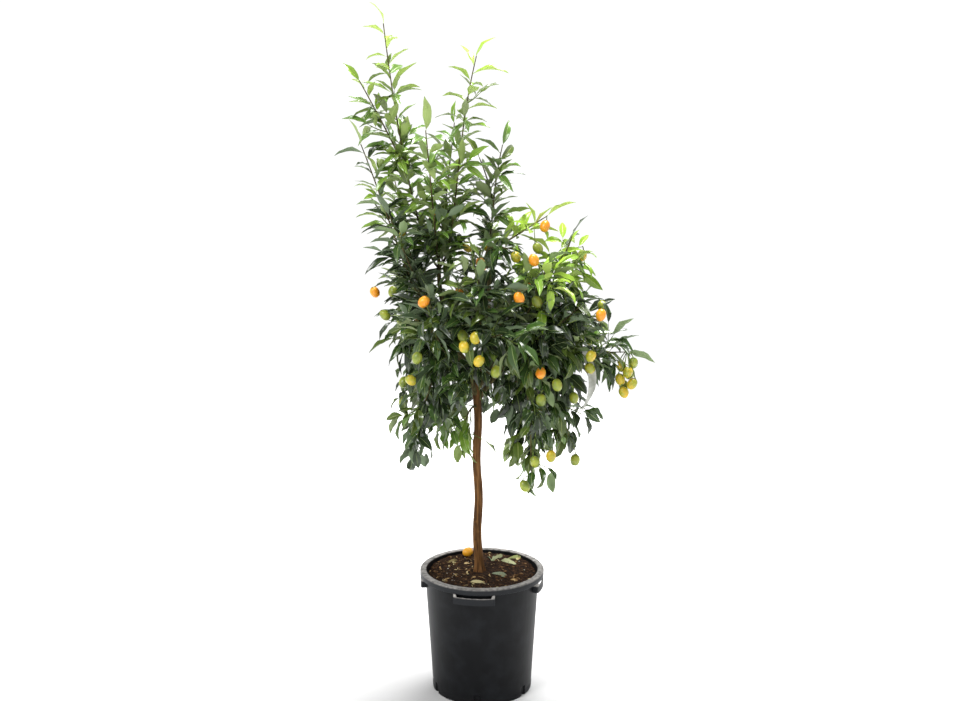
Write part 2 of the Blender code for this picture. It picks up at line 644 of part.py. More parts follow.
def main():
    for thing in list(bpy.data.objects):
        bpy.data.objects.remove(thing)
    plastic = material("black pot plastic", (0.018, 0.019, 0.021), 0.45)
    earth = material("potting mix", (0.035, 0.022, 0.014), 0.95)
    bark = material("kumquat bark", (0.11, 0.060, 0.026), 0.85)
    leaf = material("kumquat leaf", (0.035, 0.075, 0.018), 0.45)
    card = material("label film", (0.45, 0.45, 0.42), 0.5)

    build_pot(plastic)
    build_handles(plastic)
    build_soil(earth)
    solid("trunk", trunk_shape(), bark, smooth=60)
    cutter = solid("trunk_room", trunk_shape(GAP), bark)
    boughs = plan_boughs()
    build_boughs(boughs, bark, cutter)

    masses = plan_masses(boughs)
    trunk = np.array([trunk_centre(height) for height in np.linspace(SOIL_TOP, TRUNK_TOP, 20)])
    label, hung = build_label(masses["fruiting_right"][0], card)
    limbs = [(trunk, (TRUNK_LOW_RADIUS, TRUNK_HIGH_RADIUS)), (hung, (LABEL_WIDTH / 2, LABEL_WIDTH / 2))]
    space = Space(masses, limbs + list(boughs.values()))
    places = {}
    for centre in crown_fruit():
        places.setdefault(space.owner(centre), []).append(centre)
    for number, (name, stems) in enumerate(masses.items()):
        random = np.random.default_rng(SEED + number)
        fused(name, grow(name, stems, space, places.get(name, ()), random), leaf)


main()
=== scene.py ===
"""The looks of a young kumquat tree in its black nursery pot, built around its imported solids.

Places are in metres in the solids' frame: the origin is the centre of the pot's underside, +Z is up and
the front view looks along +Y. The stems follow the rule that the solids were grown by, and bear finer
twigs, life-size leaves and more fruit within the same reach.
"""

from math import pi, radians

import bpy
import numpy as np
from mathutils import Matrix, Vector
from numpy.linalg import norm
from numpy.random import default_rng


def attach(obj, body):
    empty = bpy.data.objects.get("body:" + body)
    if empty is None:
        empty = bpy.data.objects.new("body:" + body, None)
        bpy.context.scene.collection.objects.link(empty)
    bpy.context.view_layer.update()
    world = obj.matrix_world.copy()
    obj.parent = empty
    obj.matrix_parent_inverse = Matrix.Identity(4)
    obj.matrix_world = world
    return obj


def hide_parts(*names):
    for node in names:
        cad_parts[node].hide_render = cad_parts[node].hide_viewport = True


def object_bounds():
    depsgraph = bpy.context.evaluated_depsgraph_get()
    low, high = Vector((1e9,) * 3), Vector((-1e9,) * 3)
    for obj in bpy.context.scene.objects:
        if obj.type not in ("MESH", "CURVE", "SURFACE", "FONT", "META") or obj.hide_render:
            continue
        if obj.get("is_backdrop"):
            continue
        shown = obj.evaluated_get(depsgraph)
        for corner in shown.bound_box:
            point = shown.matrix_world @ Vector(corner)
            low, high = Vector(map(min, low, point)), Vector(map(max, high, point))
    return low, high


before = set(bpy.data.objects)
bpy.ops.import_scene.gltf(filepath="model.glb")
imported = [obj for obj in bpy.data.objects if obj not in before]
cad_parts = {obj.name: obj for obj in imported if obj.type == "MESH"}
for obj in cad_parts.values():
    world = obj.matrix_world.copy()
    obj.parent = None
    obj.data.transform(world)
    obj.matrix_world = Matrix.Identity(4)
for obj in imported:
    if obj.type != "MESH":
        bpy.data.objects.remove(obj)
cad_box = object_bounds()

# The pot's wall. A tapering tub of black polypropylene, injection moulded, 3 mm thick, with a low foot
# ring and six arched drainage notches at the bottom. Flow lines run down it and dust greys it a little.
POT_HEIGHT, NECK_RADIUS, BASE_RADIUS, WALL = 0.300, 0.1385, 0.120, 0.003
WALL_SIDES, WALL_ROWS, WALL_START, LIP, DISC_RADIUS = 384, 24, 0.035, 0.0035, 0.060
FOOT_LEVELS = (0, 0, 0.0006, 0.002, 0.006, 0.011, 0.012, 0.0135, 0.016, 0.019, 0.022, 0.0235, 0.025, 0.027)
FOOT_RING, FOOT_RING_FROM, FOOT_RING_TO, FOOT_ROUND = 0.0008, 0.011, 0.013, (0.0012, 0.0003)
NOTCHES, NOTCH_HALF_WIDTH, NOTCH_HEIGHT, NOTCH_DEPTH, NOTCH_TURN = 6, 0.006, 0.024, 0.007, radians(25)
NOTCH_SOFT = 0.0015
POT_BLACK, POT_DUSTY = "#111214", "#1b1d20"
FLOW_LINE_MM, FLOW_SQUEEZE, DUST_MM = 9.0, 0.06, 45.0
scene = bpy.context.scene


def linear(colour):
    """Linear RGBA of an sRGB hex colour: c / 12.92 near black, else ((c + 0.055) / 1.055) ** 2.4."""
    part = np.array([int(colour[i : i + 2], 16) for i in (1, 3, 5)]) / 255
    return (*np.where(part <= 0.04045, part / 12.92, ((part + 0.055) / 1.055) ** 2.4), 1.0)


def add_node(tree, kind, output, inputs, **settings):
    """One output of a new shader node. Each of its inputs takes a value, or a link from another output."""
    node = tree.nodes.new("ShaderNode" + kind)
    for name, value in settings.items():
        setattr(node, name, value)
    for name, value in inputs.items():
        if isinstance(value, bpy.types.NodeSocket):
            tree.links.new(value, node.inputs[name])
        else:
            node.inputs[name].default_value = value
    return node.outputs[output]


def new_finish(name, **inputs):
    """A Principled material with these inputs, underscores standing for spaces in their names."""
    finish = bpy.data.materials.new(name)
    finish.use_nodes = True
    tree = finish.node_tree
    shader = tree.nodes["Principled BSDF"]
    for socket, value in inputs.items():
        shader.inputs[socket.replace("_", " ")].default_value = value
    return finish, tree, shader


def coloured(tree, shader, level, *stops):
    """Colours the material by a level from 0 to 1: each stop is a level and the sRGB colour it takes."""
    ramp = add_node(tree, "ValToRGB", "Color", {"Fac": level})
    marks = ramp.node.color_ramp.elements
    for mark, (place, colour) in zip((marks[0], *(marks.new(0.5) for _ in stops[2:]), marks[-1]), stops):
        mark.position, mark.color = place, linear(colour)
    tree.links.new(ramp, shader.inputs["Base Color"])


def bumped(tree, shader, height, strength, depth):
    """Bumps the material by this height from 0 to 1, which stands for so many metres of depth."""
    bump = add_node(tree, "Bump", "Normal", {"Height": height, "Strength": strength, "Distance": depth})
    tree.links.new(bump, shader.inputs["Normal"])


def on_object(tree):
    """The place on the object, in metres."""
    return add_node(tree, "TexCoord", "Object", {})


def noise(tree, size_mm, detail, squeeze=1):
    """A noise from 0 to 1 in grains of this size. Heights are squeezed, which draws it out into streaks."""
    place = add_node(tree, "Mapping", "Vector", {"Vector": on_object(tree), "Scale": (1, 1, squeeze)})
    return add_node(tree, "TexNoise", "Fac", {"Vector": place, "Scale": 1000 / size_mm, "Detail": detail})


def circle(count):
    """So many angles, evenly round a circle."""
    return np.arange(count) * 2 * pi / count


def polar(radius, turn, level):
    """Points round the Z axis: radius times the turn's cosine and sine, and the level."""
    return np.stack(np.broadcast_arrays(radius * np.cos(turn), radius * np.sin(turn), level), axis=-1)


def grid_faces(rows, columns, wrap=True):
    """Quads between neighbouring rows of a grid of points; the last column joins the first if it wraps."""
    row, column = np.meshgrid(np.arange(rows - 1), np.arange(columns - (not wrap)), indexing="ij")
    across = (column + 1) % columns
    low, high = row * columns, (row + 1) * columns
    return np.stack((low + column, low + across, high + across, high + column), axis=-1).reshape(-1, 4)


def tube_faces(points):
    """Quads between the rings of these tubes, and two end caps on each. Points are by tube, ring, side."""
    rows, sides, _ = points.shape[-3:]
    start = np.arange(0, points.size // 3, rows * sides)[:, None]
    quads = (grid_faces(rows, sides).reshape(1, -1) + start).reshape(-1, 4).tolist()
    foot = (start + np.arange(sides)[::-1]).tolist()
    return quads + foot + (start + (rows - 1) * sides + np.arange(sides)).tolist()


def shown(name, data):
    """A new object in the scene, of this mesh, lamp or camera."""
    item = bpy.data.objects.new(name, data)
    scene.collection.objects.link(item)
    return item


def new_mesh(name, points, faces, finishes):
    """A mesh of these points and faces with these finishes."""
    mesh = bpy.data.meshes.new(name)
    mesh.from_pydata(points.reshape(-1, 3).tolist(), [], faces)
    for finish in finishes:
        mesh.materials.append(finish)
    return mesh


def new_piece(name, points, finishes, replaced, faces=None, which=None, sharp=50):
    """A piece that rides on the plant: these faces, or tubes. which numbers each face's finish."""
    mesh = new_mesh(name, points, faces or tube_faces(points), finishes)
    if which is not None:
        mesh.polygons.foreach_set("material_index", np.asarray(which, np.int32))
    mesh.shade_smooth()
    mesh.set_sharp_from_angle(angle=radians(sharp))
    piece = shown(name, mesh)
    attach(piece, "root")
    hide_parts(*replaced)


def step_up(value, start, end):
    """0 before start and 1 after end, smooth between: 3t^2 - 2t^3."""
    t = np.clip((value - start) / (end - start), 0, 1)
    return t * t * (3 - 2 * t)


# Polypropylene straight from the mould is near black with a soft sheen; flow lines are 9 mm apart and
# very shallow, and dust lies in 45 mm clouds.
plastic, tree, shader = new_finish("moulded black polypropylene", Roughness=0.45, Specular_IOR_Level=0.12)
coloured(tree, shader, noise(tree, DUST_MM, 6.0), (0.45, POT_BLACK), (0.75, POT_DUSTY))
bumped(tree, shader, noise(tree, FLOW_LINE_MM, 3.0, FLOW_SQUEEZE), 0.12, 0.002)

heights = np.concatenate((FOOT_LEVELS, np.linspace(WALL_START, POT_HEIGHT - LIP, WALL_ROWS)))
outer = len(heights)
level = np.concatenate((heights, (POT_HEIGHT - LIP, 0.2, 0.1, WALL, WALL)))
radius = BASE_RADIUS + (NECK_RADIUS - BASE_RADIUS) * level / POT_HEIGHT
radius[outer:] -= WALL
radius[:outer] += FOOT_RING * (1 - step_up(heights, FOOT_RING_FROM, FOOT_RING_TO))
radius[1:3] -= FOOT_ROUND
radius[[0, -1]] = DISC_RADIUS
turn = circle(WALL_SIDES)
from_notch = (turn - NOTCH_TURN + pi / NOTCHES) % (2 * pi / NOTCHES) - pi / NOTCHES
across = 1 - step_up(np.abs(from_notch) * BASE_RADIUS, NOTCH_HALF_WIDTH, NOTCH_HALF_WIDTH + NOTCH_SOFT)
arch = 1 - step_up(heights[1:], NOTCH_HEIGHT - NOTCH_SOFT, NOTCH_HEIGHT)
radius = np.tile(radius[:, None], (1, WALL_SIDES))
radius[1:outer] -= NOTCH_DEPTH * across * arch[:, None]
new_piece("pot_wall", polar(radius, turn, level[:, None]), [plastic], ["pot"])

# The rim. The wall's top turns out and down into a rounded bead that stiffens the pot and takes the
# knocks. Along its top the same plastic is painted grey: a painted highlight, patchy with scuff marks.
RIM_RADIUS, RIM_SKIRT, RIM_ROUND, RIM_GAP, RIM_SIDES = 0.150, 0.015, 0.0028, 0.0002, 288
# Greys for the top edges in patches. On the rim this grey, between the two heights, is a painted highlight.
SCUFF_AND_HIGHLIGHT_GREY, SCUFF_AND_HIGHLIGHT_PALE, SCUFF_MM, SCUFF_AND_HIGHLIGHT_LOW, SCUFF_AND_HIGHLIGHT_HIGH = "#605e5c", "#a5a29e", 9.0, 0.2952, 0.3002


def unit(vectors):
    """The vectors divided by their lengths."""
    return vectors / norm(vectors, axis=-1, keepdims=True)


def bend(controls, steps):
    """Points along Bezier curves: between neighbouring controls at share t, again and again, to one."""
    t = np.linspace(0, 1, steps + 1)[:, None]
    points = [np.asarray(control, float)[..., None, :] for control in controls]
    while len(points) > 1:
        points = [(1 - t) * start + t * end for start, end in zip(points, points[1:])]
    return points[0]


def rounded(corners, radius, steps=4):
    """A closed outline whose corners are curves that start and end this radius away from them."""
    corners = np.array(corners, float)
    ways = [np.roll(corners, shift, axis=0) - corners for shift in (1, -1)]
    reach = np.minimum(radius, 0.49 * np.minimum(*(norm(way, axis=1) for way in ways)))
    back, ahead = (corners + unit(way) * reach[:, None] for way in ways)
    return bend((back, corners, ahead), steps).reshape(-1, 2)


def scuffed_and_highlit(name, low, high):
    """The pot's plastic, greyed in patches between these two heights, most at the upper one: scuff
    marks, and on the rim a painted highlight along its top.
    """
    finish, tree, shader = new_finish(name, Roughness=0.48, Specular_IOR_Level=0.16)
    height = add_node(tree, "SeparateXYZ", "Z", {"Vector": on_object(tree)})
    # Lighter towards the upper height: on the rim this is a painted highlight.
    worn_and_lit = add_node(tree, "MapRange", "Result", {"Value": height, "From Min": low, "From Max": high})
    marks = noise(tree, SCUFF_MM, 5.0)
    patchy = add_node(tree, "Math", "Value", {0: worn_and_lit, 1: marks}, operation="MULTIPLY")
    coloured(tree, shader, patchy, (0.04, POT_DUSTY), (0.28, SCUFF_AND_HIGHLIGHT_GREY), (0.62, SCUFF_AND_HIGHLIGHT_PALE))
    bumped(tree, shader, marks, 0.15, 0.001)
    return finish


neck, inner = NECK_RADIUS - WALL - RIM_GAP, RIM_RADIUS - WALL
under, skirt = POT_HEIGHT - WALL, POT_HEIGHT - RIM_SKIRT
corners = [(neck, under), (inner, under), (inner, skirt)]
corners += [(RIM_RADIUS, skirt), (RIM_RADIUS, POT_HEIGHT), (neck, POT_HEIGHT)]
bead = rounded(corners, RIM_ROUND)
rim = polar(bead[:, :1], circle(RIM_SIDES), bead[:, 1:])
faces = grid_faces(len(bead) + 1, RIM_SIDES) % (len(bead) * RIM_SIDES)
# The rim's finish: a painted highlight along the top, patchy with scuff marks.
rim_scuffs_and_highlight = scuffed_and_highlit("scuffed black polypropylene", SCUFF_AND_HIGHLIGHT_LOW, SCUFF_AND_HIGHLIGHT_HIGH)
new_piece("rim_bead", rim, [rim_scuffs_and_highlight], ["pot_rim"], faces.tolist())

# The four grips. Each is a curved strap below the rim, moulded with the wall, on an arm at both ends
# that rises to the rim. Hands have rubbed its upper edge grey.
HANDLES = ("right", "back", "left", "front")
HANDLE_TURN, HANDLE_WIDTH, HANDLE_RADIUS, HANDLE_ROOT = radians(-7.5), 0.100, 0.1495, 0.985
HANDLE_LOW, HANDLE_TOP, RUBBED_LOW, RUBBED_HIGH = 0.260, 0.277, 0.2745, 0.2775
ARM_TOP, ARM_WIDTH, ARM_SOFT, ARM_LEAN, ARM_CORNER = 0.2846, 0.005, 0.0025, 0.002, 0.006
STRAP_HALF, STRAP_ROUND, STRAP_POINTS = 0.0014, 0.0011, 41

rubbed = scuffed_and_highlit("hand-rubbed black polypropylene", RUBBED_LOW, RUBBED_HIGH)
half = HANDLE_WIDTH / 2 / HANDLE_RADIUS
inner, outer = NECK_RADIUS * HANDLE_ROOT, HANDLE_RADIUS - STRAP_HALF
arm = [(-half, inner)] + [(ARM_LEAN - half, reach) for reach in np.linspace(inner, outer, 5)[1:-1]]
strap = [(turn, outer) for turn in np.linspace(ARM_CORNER - half, half - ARM_CORNER, STRAP_POINTS)]
plan = np.array(arm + strap + [(-turn, reach) for turn, reach in arm[::-1]])
to_arm = (half - np.abs(plan[:, 0])) * HANDLE_RADIUS
tops = ARM_TOP + (HANDLE_TOP - ARM_TOP) * step_up(to_arm, ARM_WIDTH, ARM_WIDTH + ARM_SOFT)
corners = (-STRAP_HALF, 1), (STRAP_HALF, 1), (STRAP_HALF, 0), (-STRAP_HALF, 0)
section = rounded(corners, STRAP_ROUND, 3)
height = HANDLE_LOW + section[:, 1] * (tops[:, None] - HANDLE_LOW)
for number, name in enumerate(HANDLES):
    line = polar(plan[:, 1], plan[:, 0] + number * pi / 2 + HANDLE_TURN, 0)[:, :2]
    way = unit(np.gradient(line, axis=0))
    out = np.stack((way[:, 1], -way[:, 0]), axis=-1)
    flat = line[:, None] + out[:, None] * section[:, :1]
    grip = np.concatenate((flat, height[..., None]), axis=-1)
    new_piece(f"grip_{name}", grip, [rubbed], [f"handle_{name}"])

# The potting mix. Moist dark peat and bark fines, filled to a finger below the rim and watered down
# into uneven hollows. It is level round the trunk and heaped up at the back.
SOIL_TOP, SOIL_EDGE, SOIL_LEVEL, SOIL_FALL, SOIL_SINK = 0.286, 0.280, 0.045, 0.060, 0.002
SOIL_HEAP, HEAP_FROM, HEAP_TO = 0.013, -0.02, 0.09
SOIL_RADIUS, SOIL_GRID, SOIL_FOOT, SOIL_FOOT_SHARE = 0.1338, 150, 0.20, 0.93
TRUNK_FOOT = np.array((-0.0090, 0.020))
LUMPS_MM, LUMP_HEIGHT, LUMP_CALM = (6, 45), 0.0022, 0.45
PEAT, PEAT_MM = ("#120b07", "#2c1d13", "#5a4029"), 5.0


def even_logs(rng, ends_mm, count):
    """Lengths in metres, their logarithms spread evenly between these ends in millimetres."""
    return np.exp(rng.uniform(*np.log(np.array(ends_mm) / 1000), count))


def waves(points, lengths_mm, count, seed):
    """Uneven ground: a sum of sines in seeded directions, each as high as it is long, between -1 and 1."""
    rng = default_rng(seed)
    length = even_logs(rng, lengths_mm, count)
    ways = rng.normal(size=(points.shape[-1], count))
    ways *= 2 * pi / length / norm(ways, axis=0)
    return (np.sin(points @ ways + rng.uniform(0, 2 * pi, count)) * length).sum(-1) / length.sum() * 2


def ground(points):
    """The mix's height at these places: level near the trunk, lower and lumpier towards the wall."""
    away = norm(points - TRUNK_FOOT, axis=-1)
    fall = np.clip((away - SOIL_LEVEL) / SOIL_FALL, 0, 1)
    lumps = waves(points, LUMPS_MM, 60, 3)
    heaped = SOIL_HEAP * fall * step_up(points[..., 1], HEAP_FROM, HEAP_TO)
    even = SOIL_TOP - fall * (SOIL_TOP - SOIL_EDGE + SOIL_SINK)
    return even + heaped + LUMP_HEIGHT * lumps * (LUMP_CALM + fall)


def mottled(name, stops, size_mm, detail, strength, depth, squeeze=1, **inputs):
    """A material that one noise of this size colours through its stops and bumps to this depth."""
    finish, tree, shader = new_finish(name, **inputs)
    level = noise(tree, size_mm, detail, squeeze)
    coloured(tree, shader, level, *stops)
    bumped(tree, shader, level, strength, depth)
    return finish


def earthy(name, browns, grain_mm, bumpy):
    """Damp organic crumbs: three browns by a noise of the grain's size, rough, and bumped by it."""
    stops = zip((0.36, 0.52, 0.72), browns)
    return mottled(name, stops, grain_mm, 8.0, bumpy, 0.003, Roughness=0.92, Specular_IOR_Level=0.15)


peat = earthy("moist peat and bark fines", PEAT, PEAT_MM, 0.8)
u, v = np.meshgrid(np.linspace(-1, 1, SOIL_GRID), np.linspace(-1, 1, SOIL_GRID))
flat = SOIL_RADIUS * np.stack((u * np.sqrt(1 - v * v / 2), v * np.sqrt(1 - u * u / 2)), axis=-1)
surface = np.concatenate((flat, ground(flat)[..., None]), axis=-1).reshape(-1, 3)
index = np.arange(len(surface)).reshape(SOIL_GRID, SOIL_GRID)
edge = np.concatenate((index[0, :-1], index[:-1, -1], index[-1, :0:-1], index[:0:-1, 0]))
foot = surface[edge] * (SOIL_FOOT_SHARE, SOIL_FOOT_SHARE, 0) + (0, 0, SOIL_FOOT)
under = np.arange(len(edge)) + len(surface)
sides = np.stack((edge, under, np.roll(under, -1), np.roll(edge, -1)), axis=1)
faces = [*grid_faces(*index.shape, wrap=False).tolist(), *sides.tolist(), under[::-1].tolist()]
new_piece("potting_mix", np.vstack((surface, foot)), [peat], ["soil"], faces)

# The trunk. A single clean stem of hard pale wood, trained straight, about 20 mm through, under thin
# brown bark with shallow upright furrows and the healed knuckles of pruned side shoots.
TRUNK_TOP, TRUNK_HEAD, TRUNK_SINK = 0.815, np.array((-0.0120, 0.000)), 0.006
TRUNK_LOW_RADIUS, TRUNK_HIGH_RADIUS, TRUNK_ROWS, TRUNK_SIDES = 0.0106, 0.0088, 260, 64
FLARE, FLARE_HEIGHT, FLARE_LOBES, FLARE_LOBE = 0.0045, 0.014, 5, 0.5
WOBBLE, WOBBLE_LENGTH = 0.0022, 0.19
FURROW, FURROWS_MM, FURROW_SQUEEZE, BARK_RADIUS = 0.00045, (2, 9), 0.10, 0.011
KNUCKLE, KNUCKLES, KNUCKLE_SIZE, KNUCKLE_ARM, KNUCKLE_HEIGHTS = 0.0016, 9, 0.0045, 0.010, (0.36, 0.78)
OLD_BARK, STREAK_MM, STREAK_SQUEEZE = ("#3d2712", "#604120", "#7c5733"), 4.0, 0.07


def bark(name, browns, streak_mm):
    """Thin bark: three browns in upright streaks of this width, drawn out 14 times along the stem."""
    stops = zip((0.36, 0.50, 0.68), browns)
    looks = {"Roughness": 0.8, "Specular_IOR_Level": 0.2}
    return mottled(name, stops, streak_mm, 6.0, 0.35, 0.0010, STREAK_SQUEEZE, **looks)


def trunk_centre(height):
    """The trunk's middle at these heights: a lean, and a slight wave from side to side."""
    rise = np.asarray(height, float)[..., None] - SOIL_TOP
    middle = TRUNK_FOOT + (TRUNK_HEAD - TRUNK_FOOT) * rise / (TRUNK_TOP - SOIL_TOP)
    sway = WOBBLE * np.cos(2 * pi * rise / WOBBLE_LENGTH) * (1, 0)
    return np.concatenate((middle + sway, rise + SOIL_TOP), axis=-1)


brown_bark = bark("thin brown kumquat bark", OLD_BARK, STREAK_MM)
height, turn = np.linspace(SOIL_TOP - TRUNK_SINK, TRUNK_TOP, TRUNK_ROWS)[:, None], circle(TRUNK_SIDES)
rise = height - SOIL_TOP
reach = TRUNK_LOW_RADIUS + (TRUNK_HIGH_RADIUS - TRUNK_LOW_RADIUS) * rise / (TRUNK_TOP - SOIL_TOP)
lobes = 1 + FLARE_LOBE * np.cos(FLARE_LOBES * turn)
reach = reach + FLARE * np.exp(-np.maximum(rise, 0) / FLARE_HEIGHT) * lobes
around = polar(BARK_RADIUS, turn, height * FURROW_SQUEEZE)
reach = reach + FURROW * (1 + waves(around, FURROWS_MM, 50, 5))
rng = default_rng(11)
for level, side in zip(rng.uniform(*KNUCKLE_HEIGHTS, KNUCKLES), rng.uniform(0, 2 * pi, KNUCKLES)):
    off = np.abs((turn - side + pi) % (2 * pi) - pi) * KNUCKLE_ARM
    reach = reach + KNUCKLE * np.exp(-(off**2 + (height - level) ** 2) / KNUCKLE_SIZE**2)
trunk = polar(reach, turn, 0) + trunk_centre(height[:, 0])[:, None]
new_piece("trunk_bark", trunk, [brown_bark], ["trunk"], sharp=80)

# The boughs. Eight spread from the trunk's head in a ring and three climb out of it, finger thick at
# the foot, with younger, greener and smoother bark than the trunk's.

# Of the ring: each bough's name, its direction in degrees, and the spread and tip heights of its stems.
RING = (
    ("right", 2, 0.262, 1.105, 0.915, 0.640),
    ("back_right", 47, 0.240, None, 0.985, 0.660),
    ("back", 92, 0.230, 1.060, 0.915, 0.700),
    ("back_left", 137, 0.220, None, 0.985, 0.660),
    ("left", 182, 0.190, None, 0.915, 0.735),
    ("front_left", 225, 0.220, None, 0.985, 0.640),
    ("front", 268, 0.225, 1.030, 0.915, 0.800),
    ("front_right", 318, 0.250, 1.060, 0.960, 0.580),
)
RING_RADIUS, RING_RISE, RING_TILT, RING_HOLD, RING_LOW, RING_STEP = 0.105, 0.122, 62, 0.065, 0.715, 0.008
# Of the climbers: the name, the height on the trunk, and the control points of the bough's curve.
CLIMBERS = (
    ("leader", 0.800, (-0.012, 0.000, 0.850), (-0.105, 0.000, 0.880), (-0.100, 0.004, 1.035)),
    ("climbing_left", 0.789, (-0.070, -0.055, 0.850), (-0.135, -0.060, 0.965)),
    ("climbing_right", 0.790, (0.030, 0.035, 0.880), (0.012, 0.022, 1.070)),
)
BOUGH_RADII, LEADER_RADII, BOUGH_STEPS, BOUGH_SIDES = (0.0062, 0.0042), (0.0082, 0.0048), 24, 16
BOUGH_RELIEF, BOUGH_RELIEF_MM, BOUGH_SQUEEZE, BOUGH_ROUND = 0.0003, (3, 12), 0.3, 0.0016
YOUNG_BARK, YOUNG_MM = ("#2c2716", "#4d4527", "#6f6a42"), 3.0


def heading(azimuth, tilt):
    """The unit vector at this angle from +X and this angle off the vertical, in degrees."""
    azimuth, tilt = np.radians(azimuth), np.radians(tilt)
    return np.array((np.sin(tilt) * np.cos(azimuth), np.sin(tilt) * np.sin(azimuth), np.cos(tilt)))


def swung(side, way, turn):
    """The side swung round the way by a turn: cos turn * side + sin turn * way x side."""
    return np.cos(turn) * side + np.sin(turn) * np.cross(way, side)


def tubes(paths, radii, sides):
    """Points of tubes: round each point of each path a ring of its radius, square to the path. Rings
    start from the axis that the path is least along, so that they don't twist."""
    ways = unit(np.gradient(paths, axis=1))
    start = np.eye(3)[np.abs(ways.mean(axis=1)).argmin(axis=1)]
    first = unit(np.cross(ways, start[:, None]))
    ring = swung(first[:, :, None], ways[:, :, None], circle(sides)[:, None])
    return paths[:, :, None] + np.reshape(radii, (*np.shape(radii)[:2], -1, 1)) * ring


boughs = []
for number, (name, azimuth, *_) in enumerate(RING):
    foot = trunk_centre(RING_LOW + RING_STEP * (number * 5 % len(RING)))
    tip = heading(azimuth, 90) * RING_RADIUS + (0, 0, foot[2] + RING_RISE)
    boughs.append((name, (foot, tip - heading(azimuth, RING_TILT) * RING_HOLD, tip), BOUGH_RADII))
for name, foot, *bends in CLIMBERS:
    boughs.append((name, (trunk_centre(foot), *bends), LEADER_RADII if name == "leader" else BOUGH_RADII))
paths = np.array([bend(controls, BOUGH_STEPS) for _, controls, _ in boughs])
radii = np.array([np.linspace(*ends, BOUGH_STEPS + 1) for _, _, ends in boughs])
bough_tips = {name: (path, ends[1]) for (name, _, ends), path in zip(boughs, paths)}
around = tubes(paths, radii, BOUGH_SIDES) * (1, 1, BOUGH_SQUEEZE)
relief = waves(around, BOUGH_RELIEF_MM, 40, 8) * BOUGH_RELIEF
relief[:, -1] -= BOUGH_ROUND
green_bark = bark("young green-brown bark", YOUNG_BARK, YOUNG_MM)
points = tubes(paths, radii[..., None] + relief, BOUGH_SIDES)
new_piece("bough_bark", points, [green_bark], [f"bough_{name}" for name in bough_tips], sharp=80)

# The stems. Each bough's tip carries an upright, a spreading and a drooping stem, and the climbers
# carry the long shoots of the last summer. They are pencil thin, woody below and green towards the tip.

# Each kind of stem on the ring: its share of the spread, its turn and tilt, and how far it keeps them.
GROWTH = (("upper", 0.80, 0, 22, 0.05), ("middle", 1, 14, 82, 0.06), ("lower", 0.80, -14, 132, 0.09))
FRONT_TILT = 142
# Each shoot's bough, direction and tilt, its bow, its tip, and where it forks and the fork's tip.
SHOOTS = (
    ("leader", 185, 48, -0.028, (-0.220, -0.020, 1.585), (0.52, (-0.275, -0.035, 1.460))),
    ("leader", 0, 48, -0.015, (-0.012, 0.000, 1.515), None),
    ("leader", 268, 55, 0.0, (-0.124, -0.095, 1.350), None),
    ("leader", 92, 55, 0.0, (-0.065, 0.105, 1.365), None),
    ("climbing_left", 195, 40, 0.0, (-0.270, -0.075, 1.320), None),
    ("climbing_left", 268, 58, 0.0, (-0.205, -0.125, 1.165), None),
    ("climbing_left", 118, 58, 0.0, (-0.205, 0.060, 1.235), None),
    ("climbing_right", 60, 30, -0.010, (0.048, 0.035, 1.315), (0.45, (-0.006, 0.060, 1.285))),
    ("climbing_right", 345, 62, 0.0, (0.150, -0.020, 1.155), None),
    ("climbing_right", 272, 62, 0.0, (0.070, -0.100, 1.090), None),
)
SHOOT_START, SHOOT_MIDDLE, FORK_HOLD = 0.060, 0.55, 0.05
BUNCH_HEADING, BUNCH_HOLD, BUNCH_TIP = (-58, 84), 0.09, (0.335, -0.060, 0.845)
HANGER_FOOT, HANGER_HEADING, HANGER_TIP = 0.700, (245, 70), (-0.050, -0.030, 0.620)
HANGER_START, HANGER_HOLD = 0.006, 0.06
STEM_RADII, STEM_STEPS, STEM_SINK = (0.0028, 0.0012), 16, 0.7
LEAFY = ("upper", "middle", "lower", "fruiting", "shoot", "hanger")
MASSES = [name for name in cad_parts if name.startswith(LEAFY)]


def bough_end(bough):
    """Where a stem starts: inside the rounded tip of this bough."""
    path, radius = bough_tips[bough]
    return path[-1] - unit(path[-1] - path[-2]) * radius * STEM_SINK


def grow(kind, *controls):
    """Adds a stem of this kind along the curve of these control points."""
    stems.append(bend(controls, STEM_STEPS))
    kinds.append(kind)


stems, kinds = [], []
for name, azimuth, spread, *heights in RING:
    for (kind, share, turn, tilt, hold), height in zip(GROWTH, heights):
        if height:
            tilt = FRONT_TILT if (kind, name) == ("lower", "front") else tilt
            start, ahead = bough_end(name), heading(azimuth + turn, tilt) * hold
            tip = heading(azimuth + turn, 90) * spread * share + (0, 0, height)
            grow(kind, start, start + ahead, tip)
start = bough_end("right")
grow("fruiting", start, start + heading(*BUNCH_HEADING) * BUNCH_HOLD, BUNCH_TIP)
bunch_stem = len(stems) - 1
for bough, azimuth, tilt, bow, tip, fork in SHOOTS:
    start, ahead = bough_end(bough), heading(azimuth, tilt) * SHOOT_START
    middle = start + SHOOT_MIDDLE * (tip - start) + (bow, 0, 0)
    grow("shoot", start, start + ahead, middle, tip)
    if fork:
        row = int(fork[0] * STEM_STEPS)
        start, way = stems[-1][row], unit(stems[-1][row + 1] - stems[-1][row])
        grow("fork", start, start + way * FORK_HOLD, fork[1])
centre, way = trunk_centre(HANGER_FOOT), heading(*HANGER_HEADING)
grow("hanger", centre + way * HANGER_START, centre + way * HANGER_HOLD, HANGER_TIP)
stems, kinds = np.array(stems), np.array(kinds)
stem_length = norm(np.diff(stems, axis=1), axis=2).sum(axis=1)

